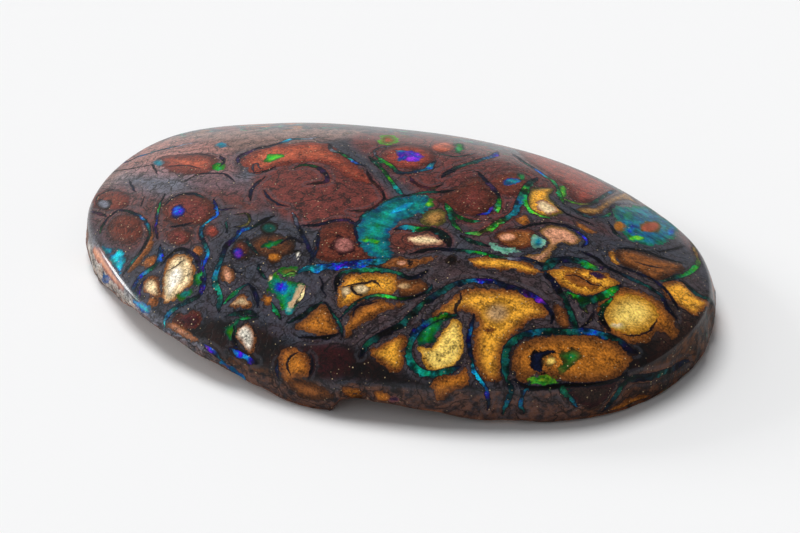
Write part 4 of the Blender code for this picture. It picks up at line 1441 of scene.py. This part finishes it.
@dataclass(frozen=True)
class OpalFinish:
    """Polished ironstone with sandy nodules and opal seams, and rough rock below the girdle.

    Sizes of noise are features per mm.
    """

    grain_scale: float = 6.5
    mottle_scale: float = 1.5
    cloud_scale: float = 0.35
    glow_scale: float = 0.9
    mottle_wobble: float = 1.25
    grain_wobble: float = 0.35
    play_of_colour: float = 0.38
    back_play: float = 0.9
    roughness: float = 0.42
    broken_roughness: float = 0.62
    grain_roughness: float = 0.15
    polish_roughness: float = 0.16
    polish: float = 0.52
    seam_polish: float = 0.12
    back_cell_scale: float = 0.34
    crack_cell_scale: float = 0.30
    sand_scale: float = 4.2
    layers: tuple[Layer, ...] = (
        Layer("nodule", 0.07, 1.0, 0.10, 0.6, 0.30),
        Layer("core", 0.07, 0.8, 0.05, 0.35, 0.10),
        Layer("spark", 0.12, 0.5, 0.0, 0.0, 0.05),
    )
    back_tones: tuple[Tone, ...] = (T.MAROON, T.IRON, T.RUSSET, T.UMBER, T.RUST, T.MAROON, T.AMBER)

    def noise(self, wiring: Wiring, place: bpy.types.NodeSocket, scale: float, detail: float) -> Flow:
        """A noise over the stone, from 0 to 1."""
        sockets = {"Vector": place, "Scale": scale, "Detail": detail, "Roughness": 0.6}
        return wiring.number("ShaderNodeTexNoise", sockets)

    def noises(self, wiring: Wiring) -> Rock:
        """The noises that the whole finish shares."""
        object_place = wiring.node("ShaderNodeTexCoord").outputs["Object"]
        place = wiring.node(
            "ShaderNodeVectorMath", {"Vector": object_place, "Scale": 1 / MM}, operation="SCALE"
        ).outputs["Vector"]
        grain = self.noise(wiring, place, self.grain_scale, 2.0)
        mottle = self.noise(wiring, place, self.mottle_scale, 4.0)
        cloud = self.noise(wiring, place, self.cloud_scale, 2.0)
        glow = self.noise(wiring, place, self.glow_scale, 3.0).ramp(0.40, 0.62)
        wobble = (mottle - 0.5) * self.mottle_wobble + (grain - 0.5) * self.grain_wobble
        return Rock(place, grain, mottle, cloud, glow, wobble)

    def streaks(self, wiring: Wiring, along: Flow) -> Flow:
        """Faint bands across a seam, from its length, as a number near 1."""
        sockets = {"W": along, "Scale": 2.4, "Detail": 3.0, "Roughness": 0.65}
        bands = wiring.number("ShaderNodeTexNoise", sockets, noise_dimensions="1D")
        return bands.ramp(0.25, 0.78) * 0.55 + 0.72

    def build(self) -> bpy.types.Material:
        """Makes the material."""
        material = bpy.data.materials.new("polished_ironstone_look")
        wiring = Wiring(material)
        rock = self.noises(wiring)
        grain, mottle = rock.grain, rock.mottle
        seen, wall, under = wiring.parts(wiring.attribute("skin"))
        along, arris, _ = wiring.parts(wiring.attribute("flow"))
        nodule_edge = wiring.parts(wiring.attribute("nodule_edge"))[0]
        lines = self.hairlines(wiring, rock, nodule_edge)

        strength = mottle.ramp(0.3, 0.7) * 0.75 + grain.ramp(0.3, 0.7) + 0.12
        colour = wiring.scaled(wiring.attribute("ground"), strength)
        colour = wiring.mix(self.shown(rock, seen), self.back(wiring, rock, strength), colour)
        colour = self.broken(wiring, rock, colour, wall * seen, under)
        colour = wiring.mix(rock.glow * (1 - wall) * 0.10, colour, Tone.RUSSET)
        colour = self.rims(wiring, rock, colour)
        colour = wiring.mix(lines * 0.75, colour, Tone.SOOT)
        look = Look(colour, self.polish - grain.ramp(0.50, 0.72) * (self.polish / 2))
        for layer in self.layers:
            look = self.region(wiring, rock, look, layer, lines)
        look = self.seam(wiring, rock, look, along)
        colour = self.grains(wiring, rock, look.colour, nodule_edge)

        roughness = wall * (self.broken_roughness - self.roughness) + self.roughness
        roughness = roughness + (grain - 0.5) * self.grain_roughness
        pillow = nodule_edge.ramp(0.05, -0.55) * 1.6
        height = grain * (wall * 0.8 + 0.40) + mottle * (wall * 1.2 + 0.10) - lines * 0.3 + pillow
        bump = wiring.node(
            "ShaderNodeBump", {"Height": height, "Distance": 0.05 * MM, "Strength": 0.7}
        )
        shader = wiring.node(
            "ShaderNodeBsdfPrincipled",
            {
                "Base Color": colour,
                "Roughness": roughness,
                "Normal": bump.outputs["Normal"],
                "IOR": 1.5,
                "Specular IOR Level": 0.12,
                "Coat Weight": (look.gloss * (1 - wall * 0.7)).larger(arris),
                "Coat Roughness": self.polish_roughness,
                "Coat IOR": 1.5,
            },
        )
        wiring.node("ShaderNodeOutputMaterial", {"Surface": shader.outputs[0]})
        return material

    def hairlines(self, wiring: Wiring, rock: Rock, edge: Flow) -> Flow:
        """Broken dark hairlines: some run round the nodules, some flow and a few are cracks."""
        mottle, cloud = rock.mottle, rock.cloud
        round_phase = edge * 1.5 + (mottle - 0.5) * 1.3 + (cloud - 0.5) * 3.0
        rings = (round_phase.fraction() - 0.5).size()
        near_nodules = edge.ramp(1.5, 1.0)
        sockets = {"Vector": rock.place, "Scale": 0.42, "Detail": 3.0, "Distortion": 1.4}
        flow_phase = wiring.number("ShaderNodeTexNoise", sockets) * 6.0
        flows = (flow_phase.fraction() - 0.5).size()
        bent = wiring.bent(rock.place, 0.6, 3.0, 4.0)
        sockets = {"Vector": bent, "Scale": self.crack_cell_scale}
        cracks = wiring.number("ShaderNodeTexVoronoi", sockets, feature="DISTANCE_TO_EDGE")
        ringed = rings.ramp(0.15, 0.05) * near_nodules * mottle.ramp(0.45, 0.50)
        flowed = flows.ramp(0.12, 0.04) * mottle.ramp(0.54, 0.49)
        cracked = cracks.ramp(0.035, 0.012) * cloud.ramp(0.48, 0.53)
        return ringed.larger(flowed * 0.8).larger(cracked)

    def shown(self, rock: Rock, seen: Flow) -> Flow:
        """Where the laid pattern shows, with a broken edge towards the sides that face away."""
        return (seen + (rock.mottle - 0.5) * 0.9).ramp(0.35, 0.65)

    def back(self, wiring: Wiring, rock: Rock, strength: Flow) -> bpy.types.NodeSocket:
        """The nodular rock of the sides that face away, with broken veins of opal."""
        sockets = {
            "Vector": wiring.bent(rock.place, 0.45, 4.0, 4.5),
            "Scale": self.back_cell_scale,
        }
        cells = wiring.node("ShaderNodeTexVoronoi", sockets)
        borders = wiring.number("ShaderNodeTexVoronoi", sockets, feature="DISTANCE_TO_EDGE")
        heart = Flow(wiring, cells.outputs["Distance"]).ramp(0.85, 0.1)
        body = wiring.spread(wiring.parts(cells.outputs["Color"])[0], self.back_tones)
        body = wiring.mix(borders.ramp(0.20, 0.10), body, Tone.IRON)
        body = wiring.scaled(body, strength * (heart * 0.5 + 0.6))
        vein = wiring.mix(rock.glow * rock.glow, Tone.NAVY, Tone.TEAL)
        vein = wiring.hued(vein, (rock.mottle - 0.5) * self.back_play)
        line = borders.ramp(0.060, 0.030) * rock.cloud.ramp(0.42, 0.50)
        return wiring.mix(line, body, vein)

    def broken(
        self,
        wiring: Wiring,
        rock: Rock,
        colour: bpy.types.NodeSocket,
        wall: Flow,
        under: Flow,
    ) -> bpy.types.NodeSocket:
        """The brown skin of the broken wall and the rusty one of the underside."""
        brown = wiring.mix(rock.mottle.ramp(0.35, 0.65), Tone.COFFEE, Tone.CHESTNUT)
        rust = wiring.mix(rock.mottle.ramp(0.3, 0.7), Tone.UMBER, Tone.RUST)
        return wiring.mix(under * 0.7, wiring.mix(wall * 0.5, colour, brown), rust)

    def rims(
        self, wiring: Wiring, rock: Rock, colour: bpy.types.NodeSocket
    ) -> bpy.types.NodeSocket:
        """The paler bands of ironstone that run beside the seams."""
        across, away, half = wiring.parts(wiring.attribute("seam_edge"))
        gap = (across.size().larger(away - 0.08) - half) + rock.wobble * 0.3
        band = gap.ramp(0.42, 0.28) * gap.ramp(0.06, 0.16)
        return wiring.mix(band * 0.25, colour, Tone.SLATE.shade(0.5))

    def region(
        self, wiring: Wiring, rock: Rock, look: Look, layer: Layer, lines: Flow
    ) -> Look:
        """Lays one layer of regions over the surface so far."""
        edge, along, fire = wiring.parts(wiring.attribute(f"{layer.name}_edge"))
        edge = edge + rock.wobble
        even = rock.grain.ramp(0.3, 0.7)
        sand = even * 0.95 * layer.grain_strength
        patches = rock.mottle.ramp(0.30, 0.70) * 0.90 * layer.grain_strength
        plain = sand + patches + (1.0 - 0.88 * layer.grain_strength)
        shine = self.streaks(wiring, along) * (rock.glow * 0.65 + 0.55) * (even * 0.4 + 0.8)
        strength = plain * (1 - lines * 0.25)
        strength = strength + (shine - strength) * fire
        tint = wiring.scaled(wiring.attribute(f"{layer.name}_tint"), strength)
        tint = wiring.hued(tint, (rock.mottle - 0.5) * fire * self.play_of_colour)
        colour = look.colour
        if layer.outline_width:
            ring = edge.ramp(layer.outline_width + 0.08, layer.outline_width * 0.4)
            colour = wiring.mix(ring * layer.outline_strength, colour, Tone.SOOT)
        cover = edge.ramp(layer.edge_softness, -layer.edge_softness)
        gloss = look.gloss + (layer.gloss - look.gloss) * cover
        return Look(wiring.mix(cover, colour, tint), gloss)

    def seam(self, wiring: Wiring, rock: Rock, look: Look, along: Flow) -> Look:
        """Lays the seams over the surface so far: dark walls, and the opal between them."""
        across, away, half = wiring.parts(wiring.attribute("seam_edge"))
        beside = (across + rock.wobble * 0.35).size().larger(away - 0.08)
        gap = beside - half * (rock.mottle * 1.4 + 0.02)
        walls = gap.ramp(0.06, -0.02)
        colour = wiring.mix(walls * 0.95, look.colour, Tone.NAVY.shade(0.35))
        strength = self.streaks(wiring, along) * (rock.grain.ramp(0.3, 0.7) * 0.6 + 0.7)
        strength = strength * (rock.glow * 1.2 + 0.12)
        tint = wiring.scaled(wiring.attribute("seam_tint"), strength)
        tint = wiring.hued(tint, (rock.mottle - 0.5) * self.play_of_colour)
        gloss = look.gloss + (self.seam_polish - look.gloss) * walls
        return Look(wiring.mix(gap.ramp(-0.01, -0.08), colour, tint), gloss)

    def grains(
        self, wiring: Wiring, rock: Rock, colour: bpy.types.NodeSocket, nodule_edge: Flow
    ) -> bpy.types.NodeSocket:
        """Scatters pale and dark sand grains, thicker in the nodules than round them. The pale specks
        are partly real grains and partly painted glints.
        """
        sockets = {"Vector": rock.place, "Scale": self.sand_scale}
        cells = wiring.node("ShaderNodeTexVoronoi", sockets)
        pick, brightness, size = wiring.parts(cells.outputs["Color"])
        pick = pick + nodule_edge.ramp(0.3, -0.3) * 0.18
        near = Flow(wiring, cells.outputs["Distance"]) + size * 0.12
        # Partly painted highlight: the pale specks are sand grains and also stand in for small glints
        # of the polished face.
        pale = near.ramp(0.28, 0.16) * pick.ramp(0.72, 0.80) * (brightness * 0.8 + 0.2)
        dark = near.ramp(0.30, 0.16) * pick.ramp(0.20, 0.16)
        colour = wiring.mix(dark * 0.55, colour, Tone.SOOT)
        return wiring.mix(pale * rock.cloud.ramp(0.2, 0.6) * 0.75, colour, Tone.CREAM)


@dataclass(frozen=True)
class FloorFinish:
    """A plain pale matt table."""

    colour: tuple[float, float, float] = (0.92, 0.92, 0.92)
    roughness: float = 0.9

    def build(self) -> bpy.types.Material:
        """Makes the material."""
        material = bpy.data.materials.new("pale_table")
        wiring = Wiring(material)
        place = wiring.node("ShaderNodeTexCoord").outputs["Object"]
        blotch = wiring.number("ShaderNodeTexNoise", {"Vector": place, "Scale": 4.0})
        darker = tuple(channel * 0.985 for channel in self.colour)
        colour = wiring.mix(blotch, (*self.colour, 1.0), (*darker, 1.0))
        shader = wiring.node(
            "ShaderNodeBsdfPrincipled",
            {"Base Color": colour, "Roughness": self.roughness, "Specular IOR Level": 0.1},
        )
        wiring.node("ShaderNodeOutputMaterial", {"Surface": shader.outputs[0]})
        return material


@dataclass(frozen=True)
class Stone:
    """The opal: one closed piece of rock, finer than the frame's own."""

    form: StoneForm
    finish: OpalFinish
    view: Viewpoint
    long_half: float = 23.0
    wide_half: float = 16.0
    grid_long: int = 300
    grid_wide: int = 214
    bevel_rings: int = 3
    wall_rings: int = 9
    underside_rings: int = 11
    sharp_angle: float = 50

    def shape(self) -> bmesh.types.BMesh:
        """Raises the dome from a grid, and grows the bevel, wall and underside from its rim."""
        bm = bmesh.new()
        bmesh.ops.create_grid(
            bm, x_segments=self.grid_long, y_segments=self.grid_wide, size=1.0
        )
        for vert in bm.verts:
            vert.co = self.dome_place(vert.co.x, vert.co.y)
        rim = [edge for edge in bm.edges if edge.is_boundary]
        for point_at, first, rings in (
            (self.form.bevel_point, 1, self.bevel_rings),
            (self.form.wall_point, 1, self.wall_rings),
            (self.form.underside_point, 0, self.underside_rings),
        ):
            for ring in range(first, rings + 1):
                rim = self.grow(bm, rim, point_at, ring / rings)
        bmesh.ops.contextual_create(bm, geom=rim)
        bmesh.ops.scale(bm, vec=(MM, MM, MM), verts=bm.verts)
        bmesh.ops.translate(bm, vec=STONE_AXIS, verts=bm.verts)
        bmesh.ops.recalc_face_normals(bm, faces=bm.faces)
        return bm

    def dome_place(self, across: float, along: float) -> Vector:
        """Where a point of the flat grid, from -1 to 1 each way, comes on the dome."""
        x = across * math.sqrt(max(0.0, 1 - along * along / 2))
        y = along * math.sqrt(max(0.0, 1 - across * across / 2))
        share = min(1.0, math.hypot(x, y))
        return self.form.dome_point(math.atan2(self.wide_half * y, self.long_half * x), share)

    def grow(
        self,
        bm: bmesh.types.BMesh,
        rim: list[bmesh.types.BMEdge],
        point_at: Callable[[float, float], Vector],
        share: float,
    ) -> list[bmesh.types.BMEdge]:
        """Extrudes the open rim to its next ring.

        Args:
            bm: The stone so far.
            rim: The edges of the open rim.
            point_at: The form's method that gives the ring's points.
            share: How far along its part of the form the ring lies.

        Returns:
            The edges of the new rim.
        """
        grown = bmesh.ops.extrude_edge_only(bm, edges=rim)["geom"]
        for item in grown:
            if isinstance(item, bmesh.types.BMVert):
                item.co = point_at(math.atan2(item.co.y, item.co.x), share)
        return [e for e in grown if isinstance(e, bmesh.types.BMEdge) and e.is_boundary]

    def build(self) -> bpy.types.Object:
        """Makes the piece, dresses it and puts it in the place of its CAD node."""
        bm = self.shape()
        mesh = bpy.data.meshes.new("opal_stone")
        bm.to_mesh(mesh)
        bm.free()
        mesh.shade_smooth()
        mesh.set_sharp_from_angle(angle=math.radians(self.sharp_angle))
        Pattern(self.view, self.form).lay_on(mesh)
        mesh.materials.append(self.finish.build())
        piece = bpy.data.objects.new("opal_stone", mesh)
        bpy.context.scene.collection.objects.link(piece)
        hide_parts("opal")
        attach(piece, "root")
        return piece


@dataclass(frozen=True)
class Lamp:
    """A far light: where it stands, its power, its spread in degrees and whether it glints."""

    name: str
    direction: Vector
    power: float
    spread: float
    glints: bool

    def build(self) -> None:
        """Adds the light."""
        data = bpy.data.lights.new(self.name, "SUN")
        data.energy = self.power
        data.angle = math.radians(self.spread)
        lamp = bpy.data.objects.new(self.name, data)
        lamp.rotation_euler = self.direction.to_track_quat("Z", "Y").to_euler()
        lamp.visible_glossy = self.glints
        bpy.context.scene.collection.objects.link(lamp)


@dataclass(frozen=True)
class Studio:
    """A pale table under a broad light from above, with a wall that is brighter at the left."""

    table_size: float = 3.0
    lamps: tuple[Lamp, ...] = (
        Lamp("broad_light", Vector((-0.30, 0.25, 0.93)), 2.10, 34, False),
        Lamp("edge_light", Vector((-0.95, 0.07, 0.30)), 1.1, 18, True),
    )
    wall_left: float = 0.70
    wall_right: float = 0.20
    overhead: float = 0.20
    front: float = 0.16
    front_left: float = 0.60

    def build(self, view: Viewpoint) -> None:
        """Adds the table, the lights and the surroundings."""
        self.table()
        for lamp in self.lamps:
            lamp.build()
        self.surroundings(view)
        bpy.context.scene.view_settings.view_transform = "Standard"

    def table(self) -> None:
        """Adds the table."""
        bm = bmesh.new()
        bmesh.ops.create_grid(bm, x_segments=2, y_segments=2, size=self.table_size / 2)
        mesh = bpy.data.meshes.new("table")
        bm.to_mesh(mesh)
        bm.free()
        mesh.materials.append(FloorFinish().build())
        table = bpy.data.objects.new("table", mesh)
        bpy.context.scene.collection.objects.link(table)

    def surroundings(self, view: Viewpoint) -> None:
        """Surrounds the table with walls that are brighter at the left than at the right."""
        world = bpy.data.worlds.new("studio")
        bpy.context.scene.world = world
        wiring = Wiring(world)
        direction = wiring.node("ShaderNodeTexCoord").outputs["Generated"]
        back, right, _ = view.axes()
        behind = self.facing(wiring, direction, Vector((-back.x, -back.y, 0)).normalized())
        leftward = self.facing(wiring, direction, -right)
        rise = wiring.parts(direction)[2]
        left = leftward.ramp(-0.12, 0.30)
        wall = left * (self.wall_left - self.wall_right) + self.wall_right
        far = behind.ramp(-0.25, 0.40)
        near = left * (self.front_left - self.front) + self.front
        level = wall * far + (1 - far) * near
        high = rise.ramp(0.55, 0.95)
        strength = level + (self.overhead - level) * high
        background = wiring.node(
            "ShaderNodeBackground", {"Color": (0.97, 0.98, 1.0, 1.0), "Strength": strength}
        )
        wiring.node("ShaderNodeOutputWorld", {"Surface": background.outputs[0]})

    def facing(self, wiring: Wiring, direction: bpy.types.NodeSocket, towards: Vector) -> Flow:
        """How far a direction of the surroundings points this way, from -1 to 1."""
        sockets = {0: direction, 1: tuple(towards)}
        node = wiring.node("ShaderNodeVectorMath", sockets, operation="DOT_PRODUCT")
        return Flow(wiring, node.outputs["Value"])


def main() -> None:
    """Loads the frame, sets the camera and studio, and builds and dresses the stone."""
    logging.basicConfig(level=logging.INFO, format="%(message)s")
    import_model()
    view = Viewpoint()
    view.build()
    Studio().build(view)
    piece = Stone(StoneForm(), OpalFinish(), view).build()
    LOG.info("%s: %d faces", piece.name, len(piece.data.polygons))


if __name__ == "__main__":
    main()
